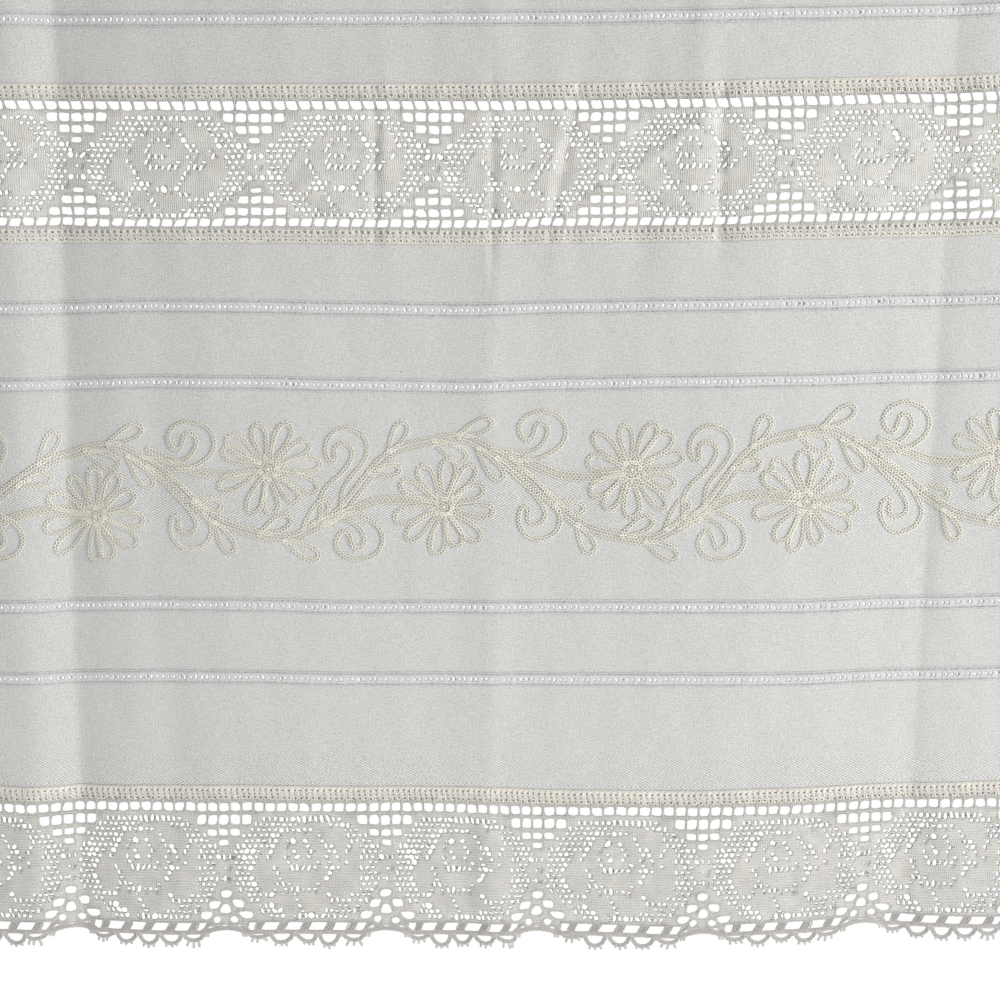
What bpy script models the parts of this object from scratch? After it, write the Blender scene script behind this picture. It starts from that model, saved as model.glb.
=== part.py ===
"""A cotton curtain, hanging nearly flat with the creases of its storage fold.

Seven strips of plain cloth are joined by five ladder tapes. A patterned lace insertion closes an opening
high up, and a scalloped lace edging hangs from the lowest strip. Each lace has a woven footing that laps
over the front of the cloth.

Lengths are in millimetres and become metres in place(). "Across" runs to the right from the middle of
the curtain, "down" runs down the cloth from its top edge, and "out" is towards the room, which is -Y.
"""

import math
from collections import namedtuple

import bpy
from mathutils import Vector
from mathutils.geometry import delaunay_2d_cdt

MM = 0.001
HALF_WIDTH = 300.0
HEIGHT = 702.6

SHEET = 1.2  # thickness of every piece
GAP = 0.3  # air between neighbouring pieces
LAP_GAP = 0.4  # air between a lace footing and the cloth behind it

LADDER_HEIGHT = 8.0
LADDERS = (186.6, 339.8, 381.4, 504.6, 545.5)  # down to the middle of each tape

INSERTION_TOP = 228.3  # down to the lower edge of its upper footing
INSERTION_END = 296.5  # down to the upper edge of its lower footing
INSERTION_FOOTING = 8.2
EDGING_TOP = 616.9  # down to the lower edge of its footing
EDGING_FOOTING = 8.8
CLOTH_SHOWS = 0.3  # how far the cloth reaches past a footing, behind the lace

ROW_HEIGHT = 45.0  # tallest row of faces in a cloth strip

# A fold stands forward where its depth is negative. "left" and "right" are how fast it runs out to
# each side, and it fades in and out over FADE at "start" and "end".
FADE = 60.0
WHOLE = (-100.0, 900.0)
Fold = namedtuple("Fold", "name across_top across_hem start end depth left right pressed")
FOLDS = (
    Fold("left edge roll", -262.0, -262.0, *WHOLE, -2.5, 16.0, 14.0, False),
    Fold("left crease", -238.0, -237.0, *WHOLE, 5.0, 15.0, 22.0, True),
    Fold("left soft line", -195.0, -185.0, 280.0, 600.0, 1.0, 12.0, 16.0, False),
    Fold("left panel", -120.0, -120.0, *WHOLE, -1.5, 60.0, 60.0, False),
    Fold("middle crease", -2.5, -7.0, *WHOLE, -1.6, 10.0, 12.0, True),
    Fold("upper soft ridge", 108.7, 108.7, -100.0, 250.0, -1.4, 9.0, 9.0, False),
    Fold("right panel", 130.0, 130.0, *WHOLE, -2.5, 70.0, 60.0, False),
    Fold("right crease", 248.7, 229.0, *WHOLE, 2.4, 24.0, 10.0, True),
    Fold("insertion pucker left", -63.0, -63.0, 240.0, 285.0, -1.2, 8.0, 8.0, False),
    Fold("insertion pucker middle", 29.0, 29.0, 240.0, 285.0, -1.1, 8.0, 8.0, False),
    Fold("insertion pucker right", 76.0, 76.0, 240.0, 285.0, 1.3, 9.0, 9.0, False),
    Fold("insertion pucker far right", 119.0, 119.0, 240.0, 285.0, 1.1, 8.0, 8.0, False),
    Fold("hem pucker", -3.0, -3.0, 660.0, 900.0, -1.8, 12.0, 14.0, False),
    Fold("hem roll", 229.0, 229.0, 650.0, 900.0, 2.2, 30.0, 24.0, False),
)

# How far the cloth is drawn up at each height of HANG_DOWN, since it doesn't hang level.
HANG_DOWN = (0.0, 186.6, 262.0, 361.0, 525.0, 617.0, 702.0)
Hang = namedtuple("Hang", "across top first_tape insertion middle lower edging hem")
HANG = (
    Hang(-300.0, 0.0, 0.3, 1.6, 0.2, 0.5, 2.0, 1.0),
    Hang(-250.0, 0.0, 0.6, 0.9, 0.5, 0.5, 1.0, 0.5),
    Hang(-190.0, 0.0, 0.4, 0.2, 2.3, 1.9, 1.7, 0.2),
    Hang(-140.0, 0.0, 0.6, 0.3, 2.1, 1.9, 2.4, 0.6),
    Hang(-80.0, 0.0, 0.8, 0.2, 0.8, 0.5, 1.6, 0.6),
    Hang(-20.0, 0.0, 1.2, 0.0, -0.2, 0.6, 1.3, 0.5),
    Hang(40.0, 0.0, 1.5, 0.4, 1.6, 0.6, -0.7, -0.4),
    Hang(100.0, 0.0, 2.4, 1.0, 2.8, 0.8, -0.8, -1.2),
    Hang(160.0, 0.0, 3.7, 2.6, 3.6, 0.8, 0.7, 0.9),
    Hang(220.0, 0.0, 5.0, 3.5, 5.0, 2.6, 2.6, 4.5),
    Hang(300.0, 0.0, 7.3, 6.3, 6.8, 4.4, 5.0, 3.5),
)

# Grid columns, as shares of the four panels between the side edges and the three creases.
PANEL_SHARES = (
    (0.0, 0.16, 0.38, 0.62, 0.82, 0.93),
    (0.0, 0.03, 0.08, 0.16, 0.28, 0.43, 0.58, 0.74, 0.88, 0.95, 0.98),
    (0.0, 0.03, 0.08, 0.17, 0.29, 0.41, 0.45, 0.49, 0.61, 0.74, 0.86, 0.94, 0.98),
    (0.0, 0.1, 0.28, 0.55, 0.83, 1.0),
)

# Places of the lace's repeats, unevenly drawn up, and how far the first row's bars lean.
Repeat = namedtuple("Repeat", "across lean")
INSERTION_REPEATS = (
    Repeat(-322.0, 1.2),
    Repeat(-227.1, 1.2),
    Repeat(-131.0, 1.2),
    Repeat(-35.5, 1.0),
    Repeat(57.7, 1.0),
    Repeat(152.7, 1.2),
    Repeat(248.3, 1.2),
    Repeat(343.0, 1.2),
)
EDGING_REPEATS = (
    Repeat(-333.7, 0.0),
    Repeat(-243.8, -1.0),
    Repeat(-155.4, 0.0),
    Repeat(-64.0, 0.3),
    Repeat(20.8, 0.0),
    Repeat(114.7, 0.2),
    Repeat(205.8, 0.6),
    Repeat(296.0, 0.0),
)
SQUARES = 14  # open squares along one repeat of either lace
INSERTION_REPEAT = 95.1
EDGING_REPEAT = 90.0

# Rows of open squares over 4 mm: how many, and how far below the footing they start and end.
Row = namedtuple("Row", "count start end bar")
INSERTION_FULL_ROW = Row(SQUARES, 0.4, 5.4, 1.7)
INSERTION_FIVE = Row(5, 7.0, 11.6, 1.8)
EDGING_FIVE = Row(5, 7.9, 13.5, 1.3)

# The openings of the fan between two scallops, from the middle of the fan.
Opening = namedtuple("Opening", "name across down width height lean")
FAN = (
    Opening("point", 0.0, 52.9, 5.8, 4.4, 0.0),
    Opening("left shoulder", -6.9, 58.8, 5.2, 5.0, 1.0),
    Opening("right shoulder", 6.9, 58.8, 5.2, 5.0, -1.0),
    Opening("heart", 0.0, 62.0, 5.8, 5.8, 0.0),
    Opening("left wing", -11.6, 65.5, 6.2, 4.8, 1.6),
    Opening("right wing", 11.6, 65.5, 6.2, 4.8, -1.6),
    Opening("left foot", -5.4, 68.3, 4.6, 4.6, 1.0),
    Opening("right foot", 5.4, 68.3, 4.6, 4.6, -1.0),
)

# The scallop's foot, from the middle of the scallop: slanted gaps, then loops with three picots each.
LOOP_PITCH = 13.1
Gap = namedtuple("Gap", "across width lean")
SLANTED_GAPS = (
    Gap(-30.0, 4.2, 1.0),
    Gap(-1.5 * LOOP_PITCH, 8.6, 2.5),
    Gap(-0.5 * LOOP_PITCH, 8.6, 2.5),
    Gap(0.5 * LOOP_PITCH, 8.6, 2.5),
    Gap(1.5 * LOOP_PITCH, 8.6, 2.5),
    Gap(30.4, 4.6, 2.0),
)
SLANTED_START = 70.0
SLANTED_END = 74.4
BAND_FOOT = 77.0  # where the loops spring from
LOOP_HOLE_START = 76.7
Loop = namedtuple("Loop", "steps drop hole_depth picot")
LOOPS = (
    Loop(-2, 3.2, 0.0, 2.2),
    Loop(-1, 6.3, 5.1, 2.3),
    Loop(0, 6.3, 5.1, 2.3),
    Loop(1, 6.3, 5.1, 2.3),
    Loop(2, 4.4, 0.0, 3.2),
)
LOOP_REACH = 6.2  # half the width of a loop
LOOP_HOLE_REACH = 3.8
PICOT_TURN = math.radians(36.0)
PICOT_HALF_WIDTH = 0.8
ARCH_TOP = 74.4  # the hollow between two scallops
ARCH_REACH = 8.4
ARCH_END = 76.4
ARCH_PICOT_AT = 10.6
ARCH_PICOT = 2.4

EDGE_MARGIN = 3.0  # holes stay this far from the side edges
FIELD_STEP = 17.0  # spacing of the loose points inside a lace
HOLE_MARGIN = 0.9

CLOTH_COLOUR = (0.62, 0.62, 0.60, 1.0)
TAPE_COLOUR = (0.68, 0.68, 0.66, 1.0)
LACE_COLOUR = (0.58, 0.57, 0.53, 1.0)


def smooth(share):
    share = min(1.0, max(0.0, share))
    return share * share * (3.0 - 2.0 * share)


def fold_depth(across, down):
    """How far back the cloth lies at one place, the sum of its folds."""
    depth = 0.0
    for fold in FOLDS:
        centre = fold.across_top + (fold.across_hem - fold.across_top) * down / HEIGHT
        side = across - centre
        reach = abs(side) / (fold.left if side < 0.0 else fold.right)
        profile = math.exp(-reach) if fold.pressed else math.exp(-reach * reach)
        shown = smooth((down - fold.start) / FADE + 1.0) * smooth((fold.end - down) / FADE + 1.0)
        depth += fold.depth * profile * shown
    return depth


def between(stations, values, at):
    """Reads values at the stations, easing smoothly from one station to the next."""
    last = len(stations) - 1
    for i in range(last):
        if at <= stations[i + 1] or i == last - 1:
            share = smooth((at - stations[i]) / (stations[i + 1] - stations[i]))
            return values[i] + (values[i + 1] - values[i]) * share
    return values[last]


def lift(across, down):
    """How far the cloth is drawn up at one place."""
    stations = [row.across for row in HANG]
    heights = [between(stations, column, across) for column in zip(*(row[1:] for row in HANG))]
    return between(HANG_DOWN, heights, down)


def column_places(down):
    """Where the grid's columns cross one height, following the creases."""
    share = down / HEIGHT
    edges = [-HALF_WIDTH]
    for fold in FOLDS:
        if fold.pressed:
            edges.append(fold.across_top + (fold.across_hem - fold.across_top) * share)
    edges.append(HALF_WIDTH)
    return [
        left + (right - left) * part
        for left, right, shares in zip(edges, edges[1:], PANEL_SHARES)
        for part in shares
    ]


def faceted_depth(across, down):
    """The fold's depth read straight between the two nearest columns, so every piece has the same facets."""
    columns = column_places(down)
    last = len(columns) - 1
    right = next((i for i in range(1, last) if across <= columns[i]), last)
    left = right - 1
    share = (across - columns[left]) / (columns[right] - columns[left])
    near, far = fold_depth(columns[left], down), fold_depth(columns[right], down)
    return near + (far - near) * share


def place(across, down, out):
    """The point in metres that lies out in front of the cloth's front face."""
    back = faceted_depth(across, down) - out
    return Vector((across, back, lift(across, down) - down)) * MM


def material(name, colour, roughness):
    made = bpy.data.materials.new(name)
    made.use_nodes = True
    shader = made.node_tree.nodes["Principled BSDF"]
    shader.inputs["Base Color"].default_value = colour
    shader.inputs["Roughness"].default_value = roughness
    shader.inputs["Metallic"].default_value = 0.0
    return made


def add_object(name, points, faces, finish):
    mesh = bpy.data.meshes.new(name)
    mesh.from_pydata(points, [], faces)
    mesh.materials.append(finish)
    mesh.validate()
    mesh.shade_smooth()
    mesh.set_sharp_from_angle(angle=math.radians(40.0))
    made = bpy.data.objects.new(name, mesh)
    bpy.context.scene.collection.objects.link(made)
    return made


def add_sheet(name, flat, triangles, front, finish):
    """Closes a flat triangulation into a sheet: its front, its back and a wall along every open edge.

    Each flat point is (across, down), and each triangle goes anticlockwise as seen from the room.
    """
    count = len(flat)
    points = [place(across, down, front) for across, down in flat]
    points += [place(across, down, front - SHEET) for across, down in flat]
    faces = [tuple(corners) for corners in triangles]
    faces += [tuple(corner + count for corner in reversed(corners)) for corners in triangles]
    directed = {
        (corners[i], corners[(i + 1) % 3])
        for corners in triangles
        for i in range(3)
    }
    for start, end in sorted(directed):
        if (end, start) not in directed:
            faces.append((end, start, start + count))
            faces.append((end, start + count, end + count))
    return add_object(name, points, faces, finish)


def heights(top, bottom):
    """Evenly spaced heights from the top to the bottom of a band, both included."""
    rows = max(1, math.ceil((bottom - top) / ROW_HEIGHT))
    return [top + (bottom - top) * row / rows for row in range(rows + 1)]


def add_strip(name, downs, finish):
    """A plain band of cloth or tape on the crease-following grid, with a row of points at each height."""
    flat = [(across, down) for down in downs for across in column_places(down)]
    width = len(column_places(0.0))
    triangles = []
    for row in range(len(downs) - 1):
        for column in range(width - 1):
            upper = row * width + column
            lower = upper + width
            triangles.append((upper, lower, upper + 1))
            triangles.append((upper + 1, lower, lower + 1))
    return add_sheet(name, flat, triangles, 0.0, finish)


def across_of(repeats, position):
    """Turns a position counted in repeats into a place across the curtain."""
    first = min(max(int(math.floor(position)), 0), len(repeats) - 2)
    start, end = repeats[first].across, repeats[first + 1].across
    return start + (end - start) * (position - first)


def square_row(repeats, row, top, downwards, width, lean_scale=0.0):
    """Open squares in one row, centred on every repeat's start; a full row runs on without a break."""
    holes = []
    pitch = 1.0 / SQUARES
    half = 0.5 * (pitch - row.bar / width)
    for number, repeat in enumerate(repeats):
        for step in range(row.count):
            middle = number + (step - (row.count - 1) / 2.0) * pitch
            corners = []
            for side, down in ((-1, row.start), (-1, row.end), (1, row.end), (1, row.start)):
                across = across_of(repeats, middle + side * half)
                across += repeat.lean * lean_scale * (down - row.start) / (row.end - row.start)
                corners.append((across, top + downwards * down))
            holes.append(corners if downwards > 0 else corners[::-1])
    return holes


def six_sided(middle_across, opening, top):
    """A small opening with six sides, leaning by its own amount."""
    corners = []
    for step in range(6):
        turn = math.radians(60.0 * step + 30.0)
        along = 0.5 * opening.width * math.cos(turn) / math.cos(math.radians(30.0))
        drop = -0.5 * opening.height * math.sin(turn)
        shift = opening.lean * -drop / opening.height
        corners.append((middle_across + opening.across + along + shift, top + opening.down + drop))
    return corners


def slanted_gap(middle_across, gap, top):
    half = 0.5 * gap.width
    centre = middle_across + gap.across
    return [
        (centre - half + 0.5 * gap.lean, top + SLANTED_START),
        (centre - half - 0.5 * gap.lean, top + SLANTED_END),
        (centre + half - 0.5 * gap.lean, top + SLANTED_END),
        (centre + half + 0.5 * gap.lean, top + SLANTED_START),
    ]


def loop_hole(middle_across, loop, top):
    """The half round opening of one loop, flat at its top."""
    centre = middle_across + loop.steps * LOOP_PITCH
    start = top + LOOP_HOLE_START
    corners = []
    for step in range(6):
        turn = math.pi * (1.0 + step / 5.0)
        along = LOOP_HOLE_REACH * math.cos(turn)
        drop = -loop.hole_depth * math.sin(turn)
        corners.append((centre + along, start + drop))
    return corners


def loop_outline(middle_across, loop, top):
    """The outer edge of one loop from left to right, with its three pointed picots."""
    centre = middle_across + loop.steps * LOOP_PITCH
    spring = top + BAND_FOOT
    turns = (-2.0 * PICOT_TURN, -PICOT_TURN, 0.0, PICOT_TURN, 2.0 * PICOT_TURN)
    points = [(centre - 0.5 * LOOP_PITCH, spring)]
    for turn in turns:
        lean = (math.sin(turn), math.cos(turn))
        edge = (centre + LOOP_REACH * lean[0], spring + loop.drop * lean[1])
        if abs(turn) > 1.5 * PICOT_TURN:
            points.append(edge)
            continue
        for side, out in ((-1, 0.0), (-0.6, loop.picot), (0.6, loop.picot), (1, 0.0)):
            aside = side * PICOT_HALF_WIDTH
            points.append((edge[0] + aside * lean[1] + out * lean[0], edge[1] - aside * lean[0] + out * lean[1]))
    return points


def arch_outline(middle_across, top):
    """The hollow between two scallops, with a picot at each end."""
    left = [
        (-ARCH_PICOT_AT - PICOT_HALF_WIDTH, ARCH_END),
        (-ARCH_PICOT_AT, ARCH_END + ARCH_PICOT),
        (-ARCH_PICOT_AT + PICOT_HALF_WIDTH, ARCH_END),
        (-0.5 * ARCH_REACH, 0.5 * (ARCH_TOP + ARCH_END) - 0.5),
    ]
    right = [(-across, down) for across, down in reversed(left)]
    return [(middle_across + across, top + down) for across, down in left + [(0.0, ARCH_TOP)] + right]


def edging_foot():
    """The whole scalloped lower edge from left to right."""
    points = []
    for start, end in zip(EDGING_REPEATS, EDGING_REPEATS[1:]):
        middle = 0.5 * (start.across + end.across)
        stretch = (end.across - start.across) / EDGING_REPEAT
        run = [point for loop in LOOPS for point in loop_outline(0.0, loop, EDGING_TOP)]
        points += arch_outline(start.across, EDGING_TOP)
        points += [(middle + across * stretch, down) for across, down in run]
    points += arch_outline(EDGING_REPEATS[-1].across, EDGING_TOP)
    inside = [point for point in points if abs(point[0]) < HALF_WIDTH - 0.5]
    inside.insert(0, (-HALF_WIDTH, EDGING_TOP + BAND_FOOT))
    inside.append((HALF_WIDTH, EDGING_TOP + ARCH_TOP))
    return inside


def edging_holes():
    holes = square_row(EDGING_REPEATS, EDGING_FIVE, EDGING_TOP, 1, EDGING_REPEAT)
    for start, end in zip(EDGING_REPEATS, EDGING_REPEATS[1:]):
        middle = 0.5 * (start.across + end.across)
        stretch = (end.across - start.across) / EDGING_REPEAT
        scallop = [slanted_gap(0.0, gap, EDGING_TOP) for gap in SLANTED_GAPS]
        scallop += [loop_hole(0.0, loop, EDGING_TOP) for loop in LOOPS if loop.hole_depth > 0.0]
        for corners in scallop:
            holes.append([(middle + across * stretch, down) for across, down in corners])
    for repeat in EDGING_REPEATS:
        holes += [six_sided(repeat.across, opening, EDGING_TOP) for opening in FAN]
    return holes


def insertion_holes():
    width = INSERTION_REPEAT
    holes = square_row(INSERTION_REPEATS, INSERTION_FULL_ROW, INSERTION_TOP, 1, width, lean_scale=1.0)
    holes += square_row(INSERTION_REPEATS, INSERTION_FIVE, INSERTION_TOP, 1, width)
    holes += square_row(INSERTION_REPEATS, INSERTION_FIVE, INSERTION_END, -1, width)
    return holes


def clear_of_sides(corners):
    return all(abs(across) < HALF_WIDTH - EDGE_MARGIN for across, _ in corners)


def column_line(down):
    return [(across, down) for across in column_places(down)]


def add_lace(name, outline, holes, footings, field, finish):
    """A lace cut from one flat outline.

    footings are pairs of heights between which the grid's columns are kept, as in the cloth behind.
    field is the pair of heights between which loose points let the lace follow its folds.
    """
    kept = [corners for corners in holes if clear_of_sides(corners)]
    points = list(outline)
    faces = [list(range(len(outline)))]
    for corners in kept:
        faces.append(list(range(len(points), len(points) + len(corners))))
        points += corners
    edges = []
    for upper, lower in footings:
        for first, last in zip(column_line(upper), column_line(lower)):
            edges.append((len(points), len(points) + 1))
            points += [first, last]
        line = list(range(len(points) - 2 * len(column_line(lower)), len(points)))
        edges += list(zip(line[0::2], line[2::2]))
        edges += list(zip(line[1::2], line[3::2]))
    boxes = [
        (
            min(a for a, _ in corners) - HOLE_MARGIN,
            max(a for a, _ in corners) + HOLE_MARGIN,
            min(d for _, d in corners) - HOLE_MARGIN,
            max(d for _, d in corners) + HOLE_MARGIN,
        )
        for corners in kept
    ]
    rows = max(1, round((field[1] - field[0]) / FIELD_STEP))
    for row in range(1, rows):
        down = field[0] + (field[1] - field[0]) * row / rows
        for across in column_places(down)[1:-1]:
            if not any(a < across < b and c < down < d for a, b, c, d in boxes):
                points.append((across, down))
    flat = [Vector((across, -down)) for across, down in points]
    made = delaunay_2d_cdt(flat, edges, faces, 1, 1e-4, True)
    corners_2d, triangles, owners = made[0], made[2], made[5]
    sheet = []
    for triangle, owner in zip(triangles, owners):
        if list(owner) != [0]:
            continue
        a, b, c = (corners_2d[i] for i in triangle)
        turn = (b - a).cross(c - a)
        sheet.append(tuple(triangle) if turn > 0.0 else tuple(reversed(triangle)))
    used = sorted({corner for triangle in sheet for corner in triangle})
    number = {corner: i for i, corner in enumerate(used)}
    renumbered = [tuple(number[corner] for corner in triangle) for triangle in sheet]
    places = [(corners_2d[i].x, -corners_2d[i].y) for i in used]
    return add_sheet(name, places, renumbered, LAP_GAP + SHEET, finish)


def add_cloth(finish):
    """The seven strips of plain cloth, from the top edge down."""
    half = 0.5 * LADDER_HEIGHT + 0.5 * GAP
    tape_1, tape_2, tape_3, tape_4, tape_5 = LADDERS
    upper_lap = [INSERTION_TOP, INSERTION_TOP + CLOTH_SHOWS]
    lower_lap = [INSERTION_END - CLOTH_SHOWS, INSERTION_END]
    edging_lap = [EDGING_TOP, EDGING_TOP + CLOTH_SHOWS]
    add_strip("cloth_top", heights(0.0, tape_1 - half), finish)
    above = heights(tape_1 + half, INSERTION_TOP - INSERTION_FOOTING) + upper_lap
    add_strip("cloth_above_insertion", above, finish)
    below = lower_lap + heights(INSERTION_END + INSERTION_FOOTING, tape_2 - half)
    add_strip("cloth_below_insertion", below, finish)
    add_strip("cloth_between_tapes", heights(tape_2 + half, tape_3 - half), finish)
    add_strip("cloth_embroidered", heights(tape_3 + half, tape_4 - half), finish)
    add_strip("cloth_below_embroidery", heights(tape_4 + half, tape_5 - half), finish)
    lowest = heights(tape_5 + half, EDGING_TOP - EDGING_FOOTING) + edging_lap
    add_strip("cloth_above_edging", lowest, finish)


def add_ladder_tapes(finish):
    half = 0.5 * LADDER_HEIGHT - 0.5 * GAP
    for number, down in enumerate(LADDERS, start=1):
        add_strip(f"ladder_tape_{number}", [down - half, down + half], finish)


def add_insertion(finish):
    upper = INSERTION_TOP - INSERTION_FOOTING
    lower = INSERTION_END + INSERTION_FOOTING
    outline = column_line(lower) + column_line(upper)[::-1]
    footings = [(upper, INSERTION_TOP), (INSERTION_END, lower)]
    field = (INSERTION_TOP, INSERTION_END)
    add_lace("lace_insertion", outline, insertion_holes(), footings, field, finish)


def add_edging(finish):
    upper = EDGING_TOP - EDGING_FOOTING
    outline = edging_foot() + column_line(upper)[::-1]
    field = (EDGING_TOP, EDGING_TOP + SLANTED_START)
    add_lace("lace_edging", outline, edging_holes(), [(upper, EDGING_TOP)], field, finish)


def main():
    for old in list(bpy.data.objects):
        bpy.data.objects.remove(old, do_unlink=True)
    lace = material("lace", LACE_COLOUR, 0.9)
    add_cloth(material("cloth", CLOTH_COLOUR, 0.92))
    add_ladder_tapes(material("tape", TAPE_COLOUR, 0.9))
    add_insertion(lace)
    add_edging(lace)


main()
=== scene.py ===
"""The looks of a cotton curtain: cloth strips, ladder tapes, two laces and chain-stitch embroidery.

Lengths are in millimetres and become metres in place(). "Across" runs to the right from the middle of
the curtain, "down" runs down the cloth from its top edge, and "out" is towards the room, which is -Y.
"""

import math
from collections import namedtuple

import bpy
import numpy as np
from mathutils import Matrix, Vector
from mathutils.geometry import delaunay_2d_cdt


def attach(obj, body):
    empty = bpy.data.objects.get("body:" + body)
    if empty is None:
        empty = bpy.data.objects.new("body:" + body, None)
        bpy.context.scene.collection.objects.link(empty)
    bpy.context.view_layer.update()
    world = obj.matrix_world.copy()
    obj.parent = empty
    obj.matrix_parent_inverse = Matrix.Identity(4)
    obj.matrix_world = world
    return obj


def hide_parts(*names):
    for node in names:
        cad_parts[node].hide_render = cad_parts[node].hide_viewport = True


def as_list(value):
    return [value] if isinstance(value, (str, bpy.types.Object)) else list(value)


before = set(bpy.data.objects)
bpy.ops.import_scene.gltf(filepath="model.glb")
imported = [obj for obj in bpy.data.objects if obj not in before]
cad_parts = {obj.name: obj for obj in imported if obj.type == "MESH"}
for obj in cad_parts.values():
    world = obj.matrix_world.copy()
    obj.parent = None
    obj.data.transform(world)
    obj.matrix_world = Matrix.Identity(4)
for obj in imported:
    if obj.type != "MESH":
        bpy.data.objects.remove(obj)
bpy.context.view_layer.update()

MM = 0.001
HALF_WIDTH = 300.0
HEIGHT = 702.6

# Every group of pieces draws its random numbers from a seed of its own.
SEED = 7
INSERTION_SEED = SEED + 20
INSERTION_FOOTING_SEED = SEED + 30
EDGING_SEED = SEED + 50
EDGING_FOOTING_SEED = SEED + 60
EMBROIDERY_SEED = SEED + 90

# Where each layer lies, from the front face of the cloth.
CLOTH_FRONT = 0.0
CLOTH_BACK = -0.35
TAPE_FRONT = 0.5
TAPE_BACK = 0.1
LACE_FRONT = 1.15
LACE_BACK = 0.75
THREAD_OUT = 1.1
FOOTING_FRONT = 0.75
FOOTING_BACK = 0.4

LADDERS = (186.6, 339.8, 381.4, 504.6, 545.5)  # down to the middle of each tape
TAPE_HALF = 4.0
TAPE_PITCH = 3.12  # from hole to hole
TAPE_STEPS = 98  # holes on each side of the middle one
TAPE_HOLE_WIDTH = 1.3
TAPE_HOLE_HEIGHT = 2.5
NEEDLE_ROW = 3.0  # from the middle of the tape to its needle holes
ZIGZAG_ROW = 2.8
ZIGZAG_SWING = 0.55
ZIGZAG_STEP = 1.04
SEAM_LAP = 1.9  # how far the cloth runs on behind a ladder tape

INSERTION_TOP = 228.3
INSERTION_END = 296.5
INSERTION_FOOTING = 8.2
EDGING_TOP = 616.9
EDGING_FOOTING = 8.8
CLOTH_SHOWS = 0.8  # the cloth's raw edge, past the footing
GROUND_LAP = 0.6  # how far a lace's ground runs on under its footing

# The cloth's grid, which is finer at the creases.
CLOTH_COLUMNS = 151
CLOTH_ROW = 7.5
CREASES = (-237.5, -4.5, 240.0)
CREASE_STEP = 1.6

# A fold stands forward where its depth is negative, and is soft unless it is pressed.
FADE = 60.0
WHOLE = (-100.0, 900.0)
CREASE_ROUND = 0.12
Fold = namedtuple("Fold", "name across_top across_hem start end depth left right pressed", defaults=(False,))
FOLDS = (
    Fold("left edge roll", -262.0, -262.0, *WHOLE, -2.5, 16.0, 14.0),
    Fold("left crease", -238.0, -237.0, *WHOLE, 5.0, 15.0, 22.0, True),
    Fold("left soft line", -195.0, -185.0, 280.0, 600.0, 1.0, 12.0, 16.0),
    Fold("left panel", -120.0, -120.0, *WHOLE, -1.5, 60.0, 60.0),
    Fold("middle crease", -2.5, -7.0, *WHOLE, -1.6, 10.0, 12.0, True),
    Fold("upper soft ridge", 108.7, 108.7, -100.0, 250.0, -1.4, 9.0, 9.0),
    Fold("right panel", 130.0, 130.0, *WHOLE, -2.5, 70.0, 60.0),
    Fold("right crease", 248.7, 229.0, *WHOLE, 2.4, 24.0, 10.0, True),
    Fold("insertion pucker left", -63.0, -63.0, 240.0, 285.0, -1.2, 8.0, 8.0),
    Fold("insertion pucker middle", 29.0, 29.0, 240.0, 285.0, -1.1, 8.0, 8.0),
    Fold("insertion pucker right", 76.0, 76.0, 240.0, 285.0, 1.3, 9.0, 9.0),
    Fold("insertion pucker far right", 119.0, 119.0, 240.0, 285.0, 1.1, 8.0, 8.0),
    Fold("insertion pinch left", -67.0, -67.0, 262.0, 268.0, 2.8, 2.4, 3.0),
    Fold("insertion pinch middle", 86.0, -54.0, 258.0, 268.0, 2.2, 2.4, 3.4),
    Fold("insertion diagonal ridge", 435.0, -525.0, 244.0, 256.0, -1.3, 6.0, 9.0),
    Fold("insertion pinch right", 118.0, 118.0, 258.0, 274.0, 2.4, 2.6, 3.2),
    Fold("insertion pinch at the crease", -4.5, -4.5, 262.0, 276.0, 2.3, 2.2, 3.6),
    Fold("middle pressed line", -2.5, -7.0, *WHOLE, 0.35, 2.6, 2.0, True),
    Fold("hem pucker", -3.0, -3.0, 660.0, 900.0, -1.8, 12.0, 14.0),
    Fold("hem roll", 229.0, 229.0, 650.0, 900.0, 2.2, 30.0, 24.0),
)

# How far the cloth is drawn up at each height of HANG_DOWN, since it doesn't hang level.
HANG_DOWN = (0.0, 186.6, 262.0, 361.0, 525.0, 617.0, 702.0)
Hang = namedtuple("Hang", "across top first_tape insertion middle lower edging hem")
HANG = (
    Hang(-300.0, 0.0, 0.3, 1.6, 0.2, 0.5, 2.0, 1.0),
    Hang(-250.0, 0.0, 0.6, 0.9, 0.5, 0.5, 1.0, 0.5),
    Hang(-190.0, 0.0, 0.4, 0.2, 2.3, 1.9, 1.7, 0.2),
    Hang(-140.0, 0.0, 0.6, 0.3, 2.1, 1.9, 2.4, 0.6),
    Hang(-80.0, 0.0, 0.8, 0.2, 0.8, 0.5, 1.6, 0.6),
    Hang(-20.0, 0.0, 1.2, 0.0, -0.2, 0.6, 1.3, 0.5),
    Hang(40.0, 0.0, 1.5, 0.4, 1.6, 0.6, -0.7, -0.4),
    Hang(100.0, 0.0, 2.4, 1.0, 2.8, 0.8, -0.8, -1.2),
    Hang(160.0, 0.0, 3.7, 2.6, 3.6, 0.8, 0.7, 0.9),
    Hang(220.0, 0.0, 5.0, 3.5, 5.0, 2.6, 2.6, 4.5),
    Hang(300.0, 0.0, 7.3, 6.3, 6.8, 4.4, 5.0, 3.5),
)

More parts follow.
